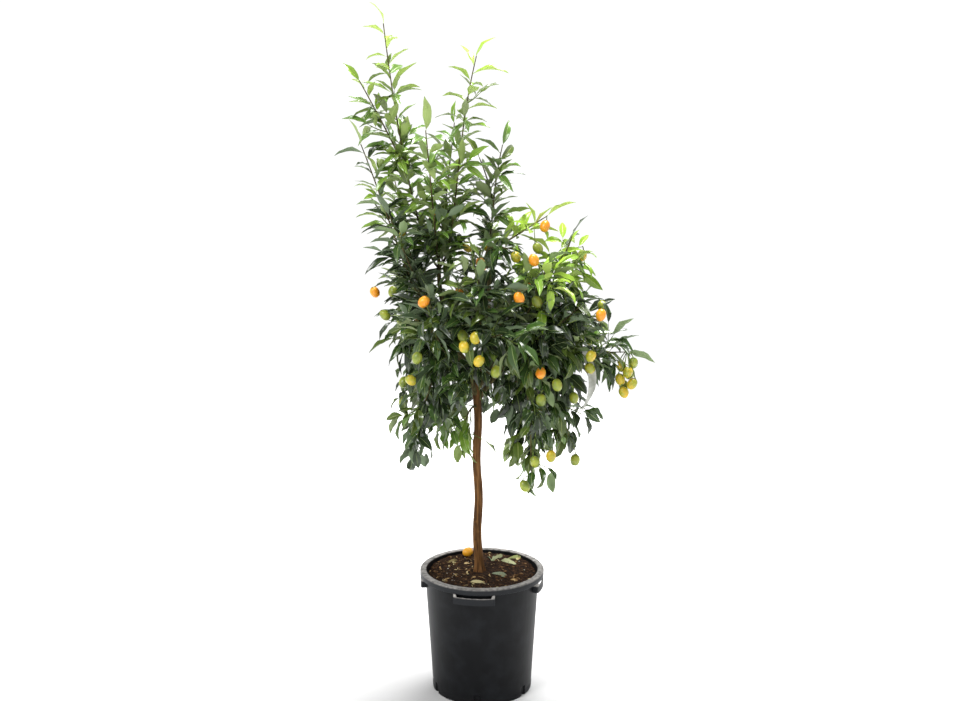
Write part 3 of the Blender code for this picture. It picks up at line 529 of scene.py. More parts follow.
# The twigs. Side twigs leave each stem by the golden angle and bear shorter ones, matchstick thin and
# green, because kumquat wood stays green for its first year or two.
GOLDEN, SEED = radians(137.5), 7
TWIG_STEP, LOW_TWIG_STEP, SHOOT_TWIG_STEP = 0.0155, 0.023, 0.038
TWIG_LENGTH, SHOOT_TWIG_LENGTH, TWIG_LENGTHS, TWIG_SHORTENS = 0.082, 0.052, (0.6, 1.15), 0.45
TWIGGED, SHOOT_TWIGGED, FIRST_TWIG, TWIG_SCATTER = 0.86, 0.80, 0.08, 0.6
STEM_TURN, TURN_SCATTER, SPRIG_TURN = 1.7, 0.3, 1.3
TWIG_RADII, TWIG_OPENING, TWIG_FALL, TWIG_HANG = (0.0015, 0.0010), (0.7, 1.15), 0.30, 0.45
SPRIG_LENGTH, SPRIG_LENGTHS, SPRIG_RADII, SPRIG_OPENING = 0.042, (0.7, 1.1), (0.0011, 0.0008), (0.6, 1.0)
SPRIGS, FIRST_SPRIG, SPRIG_STEP, SPRIG_SCATTER, SPRIG_FALL = 2, 0.28, 0.30, 0.1, 0.8
TWIG_BARK, TWIG_MM = ("#2f3d1b", "#53652b", "#86954d"), 2.5


def ranked(counts):
    """The owner and the rank of each item, where each owner has so many."""
    return np.repeat(np.arange(len(counts)), counts), np.concatenate([np.arange(count) for count in counts])


def walk(paths, owner, share):
    """The places at these shares of their paths' points, and the directions there."""
    step = share * (paths.shape[1] - 1)
    low = np.clip(step.astype(int), 0, paths.shape[1] - 2)
    start, end = paths[owner, low], paths[owner, low + 1]
    return start + (step - low)[:, None] * (end - start), unit(end - start)


def fan(way, turn, opening):
    """Directions that open from these ways by an angle, at this turn round them."""
    side = unit(np.cross(way, (0.21, 0.37, 0.9)))
    around = swung(side, way, turn[:, None])
    return unit(np.cos(opening)[:, None] * way + np.sin(opening)[:, None] * around), around


def side_twigs(parents, owner, share, turn, opening, length, fall, steps=6):
    """Twigs off their parents: start + length * (out * t + fall * t^2), fall being a downward share."""
    start, way = walk(parents, owner, share)
    out, _ = fan(way, turn, opening)
    t = np.linspace(0, 1, steps)[:, None]
    drop = fall[:, None, None] * np.array((0, 0, -1.0))
    return start[:, None] + length[:, None, None] * (out[:, None] * t + drop * t**2)


def wood(name, paths, ends, sides, finish, sharp=80):
    """Round wood along these paths, whose radius goes evenly from the first of the ends to the second."""
    radii = np.linspace(*ends, paths.shape[1]) * np.ones((len(paths), 1))
    new_piece(name, tubes(paths, radii, sides), [finish], MASSES, sharp=sharp)


rng = default_rng(SEED)
shooting, hanging = np.isin(kinds, ("shoot", "fork")), np.isin(kinds, ("lower", "hanger"))
bearing = np.where(shooting, SHOOT_TWIGGED, TWIGGED)
step = np.select((shooting, hanging), (SHOOT_TWIG_STEP, LOW_TWIG_STEP), TWIG_STEP)
number = (stem_length * bearing / step).astype(int)
owner, rank = ranked(number)
share = FIRST_TWIG + bearing[owner] * (rank + rng.uniform(0, TWIG_SCATTER, len(rank))) / number[owner]
length = np.where(shooting[owner], SHOOT_TWIG_LENGTH, TWIG_LENGTH) * rng.uniform(*TWIG_LENGTHS, len(owner))
length *= 1 - TWIG_SHORTENS * share
turn = owner * STEM_TURN + rank * GOLDEN + rng.normal(0, TURN_SCATTER, len(owner))
fall = rng.uniform(-TWIG_FALL, TWIG_FALL, len(owner)) + TWIG_HANG * hanging[owner]
twigs = side_twigs(stems, owner, share, turn, rng.uniform(*TWIG_OPENING, len(owner)), length, fall)
twig_stem = owner

sprig_twig = np.repeat(np.flatnonzero(~shooting[twig_stem]), SPRIGS)
side = np.arange(len(sprig_twig)) % SPRIGS
share = FIRST_SPRIG + SPRIG_STEP * side + rng.uniform(0, SPRIG_SCATTER, len(side))
turn = rng.uniform(0, 2 * pi) + side * GOLDEN * SPRIG_TURN + sprig_twig
opening = rng.uniform(*SPRIG_OPENING, len(side))
length = SPRIG_LENGTH * rng.uniform(*SPRIG_LENGTHS, len(side))
sprigs = side_twigs(twigs, sprig_twig, share, turn, opening, length, fall[sprig_twig] * SPRIG_FALL, steps=4)

green_twig = bark("green first-year twig", TWIG_BARK, TWIG_MM)
wood("stem_wood", stems, STEM_RADII, 9, green_bark)
wood("twig_wood", twigs, TWIG_RADII, 6, green_twig)
wood("sprig_wood", sprigs, SPRIG_RADII, 5, green_twig)

# The fruit. Oval kumquats the size of a quail's egg, ripening from green through yellow to orange, with
# a thin glossy rind pitted by oil glands, each on a short stalk with a small five-pointed calyx.
FRUIT_LENGTH, FRUIT_WIDTH, FRUIT_SWAY, FRUIT_TOUCH = 0.0285, 0.0230, 0.40, 0.92
FRUIT_SIDES, FRUIT_RINGS, FRUIT_END, FRUIT_BULGE = 16, 11, 0.10, 0.92
# Where the photo shows fruit, as its distance to the right and its height where the trunk stands.
ORANGE = (
    (0.146, 1.130), (0.121, 1.051), (0.087, 0.962), (-0.250, 0.976), (-0.136, 0.953), (0.139, 0.783),
    (0.279, 0.922),
)
YELLOW = (
    (-0.033, 1.082), (0.079, 1.058), (-0.016, 0.867), (-0.042, 0.846), (-0.007, 0.812), (-0.168, 0.766),
    (0.257, 0.824), (0.255, 0.795), (0.165, 0.580),
)
GREEN = (
    (0.130, 1.079), (0.129, 0.953), (-0.227, 0.922), (-0.045, 0.872), (0.033, 0.786), (-0.153, 0.819),
    (-0.185, 0.761), (0.178, 0.754), (0.281, 0.943), (0.127, 0.566), (0.223, 0.571), (0.103, 0.506),
    (0.218, 0.723), (0.140, 0.718),
)
EYE, SIDES = np.array((0.0073, -3.0, 1.396)), ((0, 1), (180, 2), (90, 3), (270, 3))
FRUIT_BELOW, FRUIT_AHEAD, FRUIT_HANG, OFF_WEIGHT, SIDE_START = 0.018, 0.006, 0.021, 2.0, 0.02
STALK_REACH, STALK_SLACK, STALK_RADII, STALK_ARCH, STALK_SEAT = 0.040, 0.005, (0.0009, 0.0013), 0.010, 0.46
BUNCH_FRUIT, BUNCH_RADIUS, BUNCH_DROP, BUNCH_STEP = 8, 0.015, 0.026, 0.0095
CALYX, CALYX_NOTCH = ((0.0012, -0.0004), (0.0040, -0.0002), (0.0042, 0.0004), (0.0016, 0.0016)), 0.55
GLAND_MM, BLUSH_MM = 1.3, 22.0


def turned(points, degrees):
    """The points turned round the trunk's line by this angle."""
    c, s = np.cos(radians(degrees)), np.sin(radians(degrees))
    return points @ np.array(((c, s, 0), (-s, c, 0), (0, 0, 1)))


hung_from = np.concatenate([some.reshape(-1, 3) for some in (twigs[:, 2:], sprigs[:, 1:], stems[:, 6:])])
fruit = []
for angle, every in SIDES:
    nearby = turned(hung_from, -angle)
    for ripe, table in enumerate((GREEN, YELLOW, ORANGE)):
        for across, up in table[angle // 90 % every :: every]:
            line = unit(np.array((across, 0, up)) - EYE)
            along = (nearby - EYE) @ line
            off = norm(nearby - EYE - along[:, None] * line - (0, 0, FRUIT_BELOW), axis=1)
            found = np.flatnonzero(off < max(STALK_REACH, off.min() + STALK_SLACK))
            best = found[(along[found] + OFF_WEIGHT * off[found]).argmin()]
            place = nearby[best] - (0, 0, FRUIT_HANG) if angle else EYE + line * (along[best] - FRUIT_AHEAD)
            if angle and turned(place, angle)[1] < SIDE_START:
                continue
            fruit.append((turned(place, angle), hung_from[best], ripe))
tip = stems[bunch_stem, -1]
for number in range(BUNCH_FRUIT):
    around = heading(np.degrees(number * GOLDEN), 90) * BUNCH_RADIUS
    fruit.append((tip + around - (0, 0, BUNCH_DROP + BUNCH_STEP * number), tip, 1 if number % 3 else 0))
centres, stalk_starts, ripeness = (np.array(column) for column in zip(*fruit))
apart = norm(centres[:, None] - centres, axis=2) + np.eye(len(centres))
kept = ~np.any(np.tril(apart < FRUIT_WIDTH * FRUIT_TOUCH), axis=1)
centres, stalk_starts, ripeness = centres[kept], stalk_starts[kept], ripeness[kept]
rng = default_rng(SEED + 1)
axes = unit(np.column_stack((rng.normal(0, FRUIT_SWAY, (len(centres), 2)), np.ones(len(centres)))))


def rind(name, shade, blush):
    """Glossy citrus rind: one colour that blushes to another over 22 mm, pitted every 1.3 mm."""
    finish, tree, shader = new_finish(name, Roughness=0.3, Subsurface_Weight=0.12, Subsurface_Scale=0.004)
    coloured(tree, shader, noise(tree, BLUSH_MM, 3.0), (0.35, shade), (0.65, blush))
    place = {"Vector": on_object(tree), "Scale": 1000 / GLAND_MM}
    bumped(tree, shader, add_node(tree, "TexVoronoi", "Distance", place), 0.25, 0.0004)
    return finish


def lathed(centres, axes, profile, sides):
    """A profile of (radius, height along the axis) turned about each axis, in whole arrays."""
    first = unit(np.cross(axes, (0.2, 0.9, 0.3)))
    ring = swung(first[:, None], axes[:, None], circle(sides)[:, None])
    radius, height = np.array(profile).T
    lift = height[:, None, None] * axes[:, None, None]
    return centres[:, None, None] + lift + radius[:, None, None] * ring[:, None]


angle = np.linspace(FRUIT_END, pi - FRUIT_END, FRUIT_RINGS)
girth = np.sin(angle) ** FRUIT_BULGE
oval = np.column_stack((girth * FRUIT_WIDTH / 2, -np.cos(angle) * FRUIT_LENGTH / 2))
rinds = (
    ("green_fruit", "green kumquat rind", "#64752a", "#98a035"),
    ("yellow_fruit", "yellow kumquat rind", "#8d952a", "#c6a82a"),
    ("orange_fruit", "orange kumquat rind", "#d99a22", "#e8891a"),
)
for ripe, (name, finish, shade, blush) in enumerate(rinds):
    chosen = ripeness == ripe
    points = lathed(centres[chosen], axes[chosen], oval, FRUIT_SIDES)
    new_piece(name, points, [rind(finish, shade, blush)], MASSES)
tops = centres + axes * FRUIT_LENGTH * STALK_SEAT
stalks = bend((stalk_starts, (stalk_starts + tops) / 2 + (0, 0, STALK_ARCH), tops), 5)
wood("fruit_stalks", stalks, STALK_RADII, 6, green_twig, sharp=50)
calyx = lathed(tops, axes, CALYX, 10)
calyx[:, 1:3, 1::2] = calyx[:, 1:3, 1::2] * CALYX_NOTCH + tops[:, None, None] * (1 - CALYX_NOTCH)
new_piece("calyces", calyx, [green_twig], MASSES, sharp=80)

# The label. A blank strip of whitish plastic film looped round a low stem on the right, weathered grey,
# whose tapered tail hangs down and turns a little in the air.
LABEL_WIDTH, LABEL_THICKNESS, LABEL_LENGTH, LABEL_LOOP, LABEL_SHARE = 0.020, 0.0006, 0.135, 0.007, 0.72
LABEL_BOW, LABEL_DRIFT, LABEL_BILLOW, LOOP_TURN = 0.020, 0.012, 0.012, (-0.5 * pi, 1.35 * pi)
LOOP_POINTS, TAIL_POINTS, TAPER_START, TAPER_END, TAPER_POWER = 32, 28, 38, 0.07, 1.6
FILM_DULL, FILM_WHITE, SMEAR_MM = "#8f9187", "#c3c4bd", 18.0
stops = (0.35, FILM_DULL), (0.65, FILM_WHITE)
film = mottled("weathered white label film", stops, SMEAR_MM, 5.0, 0.15, 0.002, Roughness=0.42)
(place,), (way,) = walk(stems, np.array((bunch_stem,)), np.array((LABEL_SHARE,)))
side = unit(np.array((way[0], way[1], 0)))
out = np.array((-side[1], side[0], 0))
turn = np.linspace(*LOOP_TURN, LOOP_POINTS + 1)[1:, None]
loop = place + LABEL_LOOP * (np.cos(turn) * out + np.sin(turn) * (0, 0, 1))
drop = np.linspace(0.03, 1, TAIL_POINTS)[:, None]
tail = loop[-1] + side * (LABEL_BOW * np.sin(pi * drop) - LABEL_DRIFT * drop) - (0, 0, LABEL_LENGTH) * drop
tail -= out * LABEL_BILLOW * np.sin(pi * drop)
label_path = np.vstack((loop, tail))
along = (np.arange(len(label_path)) - TAPER_START) / (len(label_path) - 1 - TAPER_START)
taper = 1 - (1 - TAPER_END) * np.clip(along, 0, 1) ** TAPER_POWER
face = unit(np.cross(np.gradient(label_path, axis=0), side))
wide, thick = side * LABEL_WIDTH / 2 * taper[:, None], face * LABEL_THICKNESS / 2
strip = label_path[:, None] + np.stack((-wide - thick, wide - thick, wide + thick, thick - wide), axis=1)
new_piece("label_strip", strip, [film], ["label"], sharp=40)

# The leaves. Lance-shaped, leathery and glossy, 50 to 70 mm long on a short stalk, folded up along a
# paler midrib and arched back. Old ones are deep green, the spring's lighter, and the shoots' tips pale.
LEAF_LENGTH, LEAF_LENGTHS, LEAF_SHAPES = 0.066, (0.72, 1.18), (0.88, 1.12)
# On hanging stems, on shoots and on the rest: the leaves' droop, size and width.
LEAF_DROOP, LEAF_SIZE, LEAF_WIDTH, STEM_SIZE = (0.35, -0.15, 0.1), (0.78, 1, 1), (0.46, 0.29, 0.33), 1.12
LEAF_THICKNESS, LEAF_RIPPLE, LEAF_RIPPLES, LEAF_DOME = 0.0004, 0.18, 2.2, 0.10
STATIONS = np.array((0, 0.09, 0.16, 0.27, 0.40, 0.54, 0.68, 0.81, 0.92, 1.0))
PROFILE = np.array((-1, -0.5, -0.06, 0.06, 0.5, 1, 0))
STALK_END, BASE_POWER, TIP_POWER, STALK_HALF, TIP_HALF = 0.09, 0.85, 1.15, 0.010, 0.004
KEEL, KEEL_LIMIT = 0.3, 0.012
SKYWARD, FORWARD, SIDEWAYS, LEAN = 0.8, 0.35, 0.45, 0.45
LEAVES_ON_TWIG, LEAVES_ON_SPRIG, LEAF_STEP, SHOOT_LEAF_STEP = 5, 3, 0.0165, 0.0105
FIRST_ON_TWIG, FIRST_ON_SPRIG, LAST_LEAF, TWIG_TURN = 0.30, 0.45, 0.99, 2.1
FIRST_ON_STEM, LEAFY_STEM, CROWDING, SHOOT_CROWDING = 0.14, 0.85, 0.9, 1.4
LEAF_OPENING, END_OPENING, STEM_LEAF_OPENING, STEM_END_OPENING = (0.75, 1.15), 0.25, (0.8, 1.15), 0.2
BOX_MARGIN, SHRINK, TRUNK_CLEAR, TRUNK_CLEAR_TOP = 0.012, 0.85, 0.018, 0.83
BARE_SIDE, BARE_BACK, BARE_LOW, BARE_TOP = 0.034, 0.03, 0.74, 0.81
FRUIT_FRONT, FRUIT_CLEAR, VIEW_CLEAR, CLEAR_DEPTH, FRUIT_GAP, SAG = 0.04, 0.012, 0.020, 0.10, 0.0165, 0.4
CROWN_CENTRE = (0.015, 0, 0.90)
OLDEST, AGE_SPREAD, SPORTS, SPORT_AGE = 3.5, 0.35, 0.95, 3
# The lighter tone added towards the top of the crown, and the heights it rises over, are a painted top
# light.
TOP_LIGHT_TONE, TOP_LIGHT_Z, RIGHT_AGE, RIGHT_X, RIGHT_Z = 2.6, (1.00, 1.20), 5.4, (0.03, 0.08), (0.95, 1.02)
SKIRT_AGE, SKIRT_X, SKIRT_Z, HANGER_AGE = 1.8, (0.02, 0.10), (0.66, 0.78), 2.5
TIP_HEIGHTS, TIP_AGES, LEAVES_IN_PIECE = (1.30, 1.40, 1.50), (4.5, 6.2, 7.4), 1500
CURLS, FOLDS, PHASES = (0.35, 1.25), (0.15, 0.65), (0, 6)
# Each tone's name, and the colours of its upper side, its midrib and its underside.
TONES = (
    ("deep", "#1b2811", "#55642f", "#56664a"),
    ("dusky", "#25341b", "#60703f", "#657758"),
    ("mid", "#324a1d", "#768748", "#728659"),
    ("olive", "#4a5c22", "#86914c", "#7d8b5e"),
    ("fresh", "#587830", "#90a35f", "#84975c"),
    ("bright", "#6f9032", "#9bae5e", "#8a9e58"),
    ("young", "#76962f", "#98ad52", "#a0b85c"),
    ("pale", "#8bab38", "#a5ba58", "#b6cd68"),
)


def leaf_points(base, out, up, length, width, curl, fold, wave):
    """Leaves as a seven-point profile carried along an arc. Half the width is u^0.85 (1-u)^1.15 scaled
    to 1, and the way turns down evenly by curl. The halves rise from the midrib by fold, doming by
    4 t (1 - t) between midrib and margin, and the margin waves up and down."""
    u = np.clip((STATIONS - STALK_END) / (1 - STALK_END), 0, 1)
    widest = BASE_POWER / (BASE_POWER + TIP_POWER)
    half, full = (x**BASE_POWER * (1 - x) ** TIP_POWER for x in (u, widest))
    half = np.maximum(width[:, None] / 2 * half / full, np.where(STATIONS < 0.5, STALK_HALF, TIP_HALF))
    spread = half[..., None] * PROFILE
    angle = curl[:, None] * STATIONS
    c, s = np.cos(angle)[..., None], np.sin(angle)[..., None]
    middle = (s * out[:, None] - (1 - c) * up[:, None]) / curl[:, None, None]
    rise = s * out[:, None] + c * up[:, None]
    ripple = LEAF_RIPPLE * np.sin(2 * pi * LEAF_RIPPLES * STATIONS + wave[:, None])[..., None]
    lift = np.abs(spread) * (np.sin(fold)[:, None, None] + ripple + 4 * LEAF_DOME * (1 - np.abs(PROFILE)))
    lift[..., -1] = -LEAF_THICKNESS / LEAF_LENGTH - KEEL * np.minimum(half, KEEL_LIMIT)
    across = (spread * np.cos(fold)[:, None, None])[..., None] * np.cross(out, up)[:, None, None]
    points = middle[:, :, None] + across + lift[..., None] * rise[:, :, None]
    return base[:, None, None] + length[:, None, None, None] * points


def square(up, out):
    """The part of each up that stands square to its out, as a unit vector."""
    return unit(up - out * (up * out).sum(-1, keepdims=True))


def seat_leaves(paths, owner, share, turn, opening, stem, size, spray):
    """Leaves off twigs by the solids' rule: open from the twig, let down by droop, faced up to the light."""
    base, way = walk(paths, owner, share)
    out, around = fan(way, turn, opening)
    out = unit(out - droops[stem][:, None] * (0, 0, 1))
    up = square((0, 0, SKYWARD) + FORWARD * way + SIDEWAYS * around, out)
    lean = rng.normal(0, LEAN, len(out))[:, None]
    length = LEAF_LENGTH * size * sizes[stem] * rng.uniform(*LEAF_LENGTHS, len(out))
    return base, out, swung(up, out, lean), length, widths[stem] * rng.uniform(*LEAF_SHAPES, len(out)), spray


rng = default_rng(SEED + 2)
looks = (np.select((hanging, shooting), row[:2], row[2]) for row in (LEAF_DROOP, LEAF_SIZE, LEAF_WIDTH))
droops, sizes, widths = looks
seats = []
for paths, on_each, first, parent in (
    (twigs, LEAVES_ON_TWIG, FIRST_ON_TWIG, np.arange(len(twigs))),
    (sprigs, LEAVES_ON_SPRIG, FIRST_ON_SPRIG, sprig_twig),
):
    owner, rank = ranked([on_each] * len(paths))
    share = first + (LAST_LEAF - first) * rank / (on_each - 1)
    opening = np.where(rank == on_each - 1, END_OPENING, rng.uniform(*LEAF_OPENING, len(rank)))
    turn, spray = owner * TWIG_TURN + rank * GOLDEN, parent[owner]
    seats.append(seat_leaves(paths, owner, share, turn, opening, twig_stem[spray], 1, spray))
number = (stem_length / np.where(shooting, SHOOT_LEAF_STEP, LEAF_STEP)).astype(int)
owner, rank = ranked(number)
last = number[owner] - 1
share = FIRST_ON_STEM + LEAFY_STEM * (rank / last) ** np.where(shooting[owner], SHOOT_CROWDING, CROWDING)
opening = np.where(rank == last, STEM_END_OPENING, rng.uniform(*STEM_LEAF_OPENING, len(rank)))
turn, spray = owner + rank * GOLDEN, len(twigs) + owner
seats.append(seat_leaves(stems, owner, share, turn, opening, owner, STEM_SIZE, spray))
base, out, up, length, width, spray = (np.concatenate(column) for column in zip(*seats))

# Leaves that would leave the solids' box shrink or go, and so do those that would hide the bare trunk,
# the label or the front of a fruit, or would pass through a fruit.
low, high = np.array(cad_box[0]) - BOX_MARGIN, np.array(cad_box[1]) + BOX_MARGIN
for _ in range(3):
    tip = base + out * length[:, None]
    length[np.any((tip < low) | (tip > high), axis=1)] *= SHRINK
tip = base + out * length[:, None]
roomy = np.all((tip > low) & (tip < high), axis=1)
middle = base + out * length[:, None] * 0.5
height = middle[:, 2]
from_trunk = middle - trunk_centre(height)
roomy &= (norm(from_trunk, axis=1) > TRUNK_CLEAR) | (height > TRUNK_CLEAR_TOP)
borne_by = kinds[np.append(twig_stem, np.arange(len(stems)))]
beside = (borne_by[spray] == "hanger") | (height > BARE_LOW)
bare = np.where(beside, BARE_SIDE / 2, BARE_SIDE)
roomy &= (np.abs(from_trunk[:, 0]) > bare) | (from_trunk[:, 1] > BARE_BACK) | (height > BARE_TOP)
seen = np.vstack((centres, centres[centres[:, 1] < FRUIT_FRONT], label_path[LOOP_POINTS + 1 :: 3]))
outward = unit(EYE - seen)
outward[: len(centres)] = unit(centres - CROWN_CENTRE)
to_leaf = middle[:, None] - seen
ahead = (to_leaf * outward).sum(-1)
aside = norm(to_leaf - ahead[..., None] * outward, axis=-1)
clear = np.where(np.arange(len(seen)) < len(centres), FRUIT_CLEAR, VIEW_CLEAR)
roomy &= ~((ahead > 0) & (ahead < CLEAR_DEPTH) & (aside < clear)).any(axis=1)
for share in (0.1, 0.3, 0.5, 0.7, 0.9):
    passing = base + (out - up * SAG * share) * length[:, None] * share
    roomy &= norm(passing[:, None] - centres, axis=-1).min(axis=1) > FRUIT_GAP

# Each spray of leaves is given a tone by how young it is, younger on the right and at the foot of the
# crown, and the long shoots' leaves grow younger towards the tip. Towards the top the tone is raised
# too: a painted top light that makes the upper leaves lighter.
x, y, z = np.concatenate((twigs[:, 0], stems[:, 8])).T
# Towards the top the tone is raised: painted top light.
age_and_top_light = rng.uniform(0, OLDEST, len(x)) + TOP_LIGHT_TONE * step_up(z, *TOP_LIGHT_Z)
age_and_top_light += RIGHT_AGE * step_up(x, *RIGHT_X) * step_up(z, *RIGHT_Z) + HANGER_AGE * (borne_by == "hanger")
age_and_top_light += SKIRT_AGE * step_up(x, *SKIRT_X) * (1 - step_up(z, *SKIRT_Z))
age_and_top_light[rng.uniform(size=len(age_and_top_light)) > SPORTS] += SPORT_AGE
leaf_age_and_top_light = age_and_top_light[spray] + rng.normal(0, AGE_SPREAD, len(spray))
height = base[:, 2] * (spray >= len(twigs))
leaf_age_and_top_light = np.where(height > TIP_HEIGHTS[0], np.interp(height, TIP_HEIGHTS, TIP_AGES), leaf_age_and_top_light)
leaf_tone = np.clip(leaf_age_and_top_light.astype(int), 0, len(TONES) - 1)

blade = np.tile((0, 0, 1, 0, 0, 2, 2), len(STATIONS) - 1)
for tone, (name, upper, midrib, under) in enumerate(TONES):
    chosen = np.flatnonzero(roomy & (leaf_tone == tone))
    finishes = []
    for part, colour, gloss in (("blade", upper, 0.22), ("midrib", midrib, 0.4), ("underside", under, 0.55)):
        looks = {"Base_Color": linear(colour), "Roughness": gloss}
        finishes.append(new_finish(f"{name} green leaf {part}", **looks)[0])
    for number, some in enumerate(np.array_split(chosen, 1 + len(chosen) // LEAVES_IN_PIECE)):
        curl, fold, wave = (rng.uniform(*ends, len(some)) for ends in (CURLS, FOLDS, PHASES))
        points = leaf_points(base[some], out[some], up[some], length[some], width[some], curl, fold, wave)
        which = np.concatenate((np.tile(blade, len(some)), np.zeros(2 * len(some), int)))
        new_piece(f"{name}_leaves_{number + 1}", points, finishes, MASSES, which=which, sharp=70)

# What lies on the mix. Crumbs of peat and bark, flakes of bark, white bits of perlite, a few curled
# dry leaves and one fallen fruit, strewn unevenly and pressed a little into it.

# Each kind's piece and finish, its colours, its grain in mm and bumps, its count, sizes and flatness.
LITTER = (
    ("peat_crumbs", "crumbled peat", ("#120b07", "#3d2a1d", "#5a4029"), 2.5, 0.6, 1500, (1.2, 3.8), 0.75),
    ("bark_flakes", "pine bark flakes", ("#2a1a0f", "#5e432b", "#9a7b57"), 6.0, 0.5, 190, (5, 13), 0.30),
    ("perlite_bits", "white perlite", ("#b4b1a8", "#cfccc3", "#e2dfd6"), 2.0, 0.5, 30, (2.0, 4.8), 0.8),
)
CLEAR_OF_TRUNK, CLEAR_OF_WALL, PEBBLE_SIDES, PEBBLE_LIFT = 0.020, 0.93, 7, 0.12
PEBBLE, PEBBLE_ROUGH = ((0.35, -0.40), (0.92, -0.22), (0.98, 0.16), (0.40, 0.42)), (0.6, 1.25)
# Each dry leaf's place, its colour, its direction in degrees and its length.
DRY_LEAVES = (
    (0.045, 0.092, "#dbe0ae", 20, 0.064),
    (0.060, 0.062, "#dde3b0", 168, 0.070),
    (0.085, 0.085, "#cfd892", 215, 0.052),
    (0.022, 0.104, "#8a9a7a", 100, 0.062),
    (0.041, -0.012, "#94a083", 200, 0.054),
    (-0.012, -0.060, "#cfc593", 330, 0.050),
    (0.085, -0.010, "#7d5f38", 30, 0.044),
    (-0.070, 0.070, "#a89a68", 15, 0.044),
    (-0.090, -0.030, "#7a5f3a", 120, 0.034),
)
DRY_STALK, DRY_TILT, DRY_FACE, DRY_LIFT, DRY_SHAPE = "#6b5431", 74, (-80, 48), 0.004, (0.36, 1.1, 0.75)
DRY_MM, STRAWS, STRAW_SIZES_MM, STRAW_MM, STRAW_LIFT = 6.0, 90, (8, 24), 25.0, 0.002
STRAW_STOPS = (0.35, "#77562f"), (0.50, "#bb9c69"), (0.62, "#d9cb9c")
STRAW_SHAPES, STRAW_RISE, STRAW_ROLL = ((0.3, 1.9), (0.1, 0.9), (0, 6), (0.16, 0.40)), (-0.1, 0.35), 0.6
FALLEN_FRUIT, FALLEN_AXIS, FALLEN_SHARE = (-0.036, 0.112), (0.8, 0.5, 0.15), 0.42
rng = default_rng(SEED + 3)


def strewn(count, sizes_mm):
    """Places on the mix, as even in area as the square root of a share makes them, and their sizes."""
    reach = np.sqrt(rng.uniform((CLEAR_OF_TRUNK / SOIL_RADIUS) ** 2, CLEAR_OF_WALL, count)) * SOIL_RADIUS
    flat = polar(reach, rng.uniform(0, 2 * pi, count), 0)[:, :2]
    return flat, even_logs(rng, sizes_mm, count)


def pebbles(flat, sizes, squash):
    """Uneven pebbles of four rings each, squashed to this share of their width, seated at these places."""
    count = len(flat)
    axes = unit(rng.normal(size=(count, 3)) * (0.35, 0.35, 1) * np.sign(rng.normal(size=(count, 1))))
    whole = lathed(np.zeros((count, 3)), axes, PEBBLE, PEBBLE_SIDES)
    whole *= rng.uniform(*PEBBLE_ROUGH, (*whole.shape[:3], 1))
    stretch = np.stack((np.ones(count), rng.uniform(0.5, 1, count), np.full(count, squash)), axis=-1)
    whole *= stretch[:, None, None] * sizes[:, None, None, None] / 2
    turn = rng.uniform(0, 2 * pi, count)[:, None, None]
    x, y, z = np.moveaxis(whole, -1, 0)
    level = (ground(flat) + sizes * PEBBLE_LIFT)[:, None, None]
    across = x * np.cos(turn) - y * np.sin(turn) + flat[:, :1, None]
    along = x * np.sin(turn) + y * np.cos(turn) + flat[:, 1:, None]
    return np.stack((across, along, z + level), axis=-1)


for name, finish, browns, grain_mm, bumpy, count, sizes_mm, squash in LITTER:
    points = pebbles(*strewn(count, sizes_mm), squash)
    new_piece(name, points, [earthy(finish, browns, grain_mm, bumpy)], ["soil"], sharp=35)
for number, (x, y, colour, turn, length) in enumerate(DRY_LEAVES):
    stops = (0.26, DRY_STALK), (0.44, colour)
    finish = mottled("dry fallen leaf", stops, DRY_MM, 5.0, 0.4, 0.002, Roughness=0.7)
    out = heading(turn, DRY_TILT)
    up = square(heading(*DRY_FACE), out)
    base = np.array((x, y, ground(np.array((x, y))) + DRY_LIFT)) - out * length / 2
    points = leaf_points(*(np.array([value]) for value in (base, out, up, length, *DRY_SHAPE, number)))
    new_piece(f"dry_leaf_{number + 1}", points, [finish], ["soil"], sharp=70)
straw = mottled("straw-coloured leaf scraps", STRAW_STOPS, STRAW_MM, 3.0, 0.2, 0.002, Roughness=0.75)
flat, length = strewn(STRAWS, STRAW_SIZES_MM)
out = unit(np.column_stack((rng.normal(size=(STRAWS, 2)), rng.uniform(*STRAW_RISE, STRAWS))))
up = square(np.column_stack((rng.normal(0, STRAW_ROLL, (STRAWS, 2)), np.ones(STRAWS))), out)
base = np.column_stack((flat, ground(flat) + STRAW_LIFT))
curl, fold, wave, width = (rng.uniform(*ends, STRAWS) for ends in STRAW_SHAPES)
points = leaf_points(base, out, up, length, width, curl, fold, wave)
new_piece("leaf_scraps", points, [straw], ["soil"], sharp=70)
middle = np.append(FALLEN_FRUIT, ground(np.array(FALLEN_FRUIT)) + FRUIT_WIDTH * FALLEN_SHARE)
points = lathed(middle[None], unit(np.array([FALLEN_AXIS])), oval, FRUIT_SIDES)
fallen = rind("fallen orange kumquat rind", "#dc9a20", "#e4a626")
new_piece("fallen_fruit", points, [fallen], ["soil"])
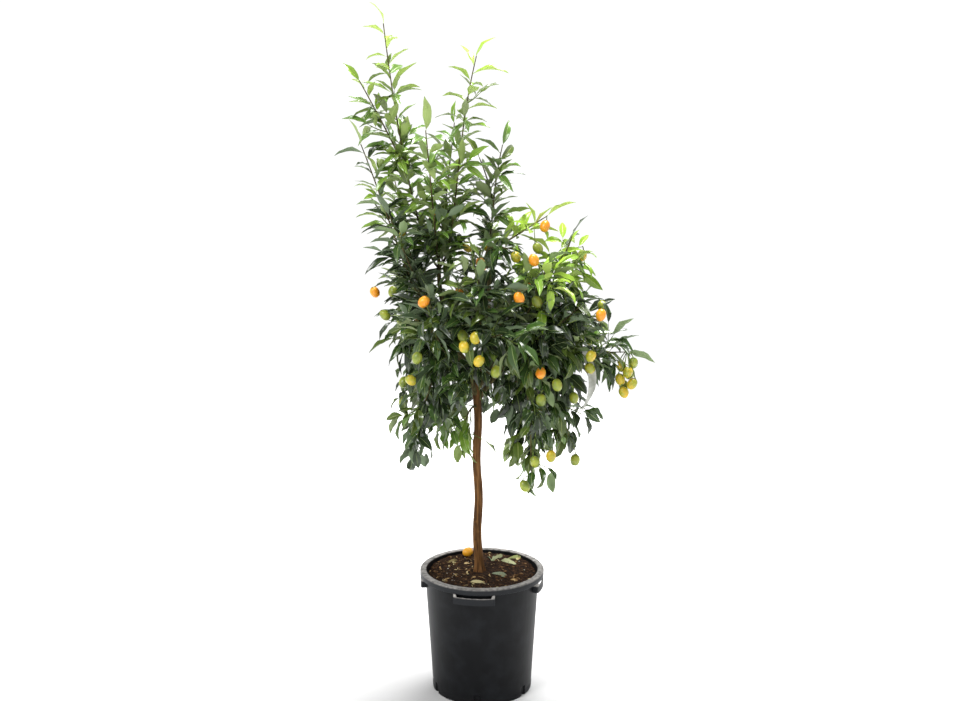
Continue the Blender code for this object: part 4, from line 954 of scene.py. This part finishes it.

# The floor. A round sheet of matt paper, white from two metres out. Under the pot it is painted pale
# grey, a painted shade, where the pot's soft shadow also shows.
FLOOR_RINGS, FLOOR_SIDES, FLOOR_LEVEL = (0.05, 0.3, 0.8, 2, 3.4), 96, -0.0005
# The pale grey under the pot is a painted shade.
PAPER_SHADE_GREY, PAPER_WHITE, SHADE_REACH, WHITE_REACH = "#cccccc", "#fbfbfb", 0.5, 2.0
paper, tree, shader = new_finish("matt pale paper", Roughness=0.95)
away = add_node(tree, "VectorMath", "Value", {"Vector": on_object(tree)}, operation="LENGTH")
reach = {"Value": away, "From Min": SHADE_REACH, "From Max": WHITE_REACH}
white = add_node(tree, "MapRange", "Result", reach, interpolation_type="SMOOTHSTEP")
# Painted shade: grey near the pot, white further out.
coloured(tree, shader, white, (0, PAPER_SHADE_GREY), (1, PAPER_WHITE))
reach = np.array(FLOOR_RINGS)[:, None]
sheet = polar(reach, circle(FLOOR_SIDES), FLOOR_LEVEL)
faces = [*grid_faces(len(reach), FLOOR_SIDES)[:, ::-1].tolist(), list(range(FLOOR_SIDES))]
floor = shown("paper_floor", new_mesh("paper_floor", sheet, faces, [paper]))
floor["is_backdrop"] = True

# The light. White walls all round under a dimmer ceiling, a soft box high on the left in front, and one
# above and behind that puts a grey sheen on the leaves' upper sides.
SKY_STRENGTH, CEILING_STRENGTH, WALL_TOP, CEILING_START = 1.05, 0.35, 0.35, 0.60
LIGHTS, LIT = (("key", (-2.4, -2.6, 3.6), 1.6, 130), ("top", (0.7, 1.2, 6.5), 3.2, 960)), (0, 0, 0.9)

world = bpy.data.worlds.new("studio")
scene.world = world
scene.view_settings.view_transform = "Standard"
world.use_nodes = True
tree = world.node_tree
sky = tree.nodes["Background"]
sky.inputs["Color"].default_value = (1, 1, 1, 1)
aim = add_node(tree, "TexCoord", "Generated", {})
height = add_node(tree, "SeparateXYZ", "Z", {"Vector": aim})
ends = {"From Min": WALL_TOP, "From Max": CEILING_START, "To Min": SKY_STRENGTH, "To Max": CEILING_STRENGTH}
level = add_node(tree, "MapRange", "Result", {"Value": height, **ends}, interpolation_type="SMOOTHSTEP")
tree.links.new(level, sky.inputs["Strength"])
for name, place, size, power in LIGHTS:
    lamp = bpy.data.lights.new(name, "AREA")
    lamp.shape, lamp.size, lamp.energy = "DISK", size, power
    box = shown(name, lamp)
    box.location = place
    box.rotation_euler = (Vector(LIT) - Vector(place)).to_track_quat("-Z", "Y").to_euler()

# The camera. At head height three metres in front, where the photo was taken from.
CAMERA_TILT, LENS_MM, FILM_MM = radians(79.45), 48.06, 36
lens = bpy.data.cameras.new("front")
lens.lens, lens.sensor_width, lens.sensor_fit = LENS_MM, FILM_MM, "HORIZONTAL"
camera = shown("front", lens)
camera.location, camera.rotation_euler = EYE, (CAMERA_TILT, 0, 0)
scene.camera = camera

sizes = {"cad": [list(corner) for corner in cad_box], "visual": [list(corner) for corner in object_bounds()]}
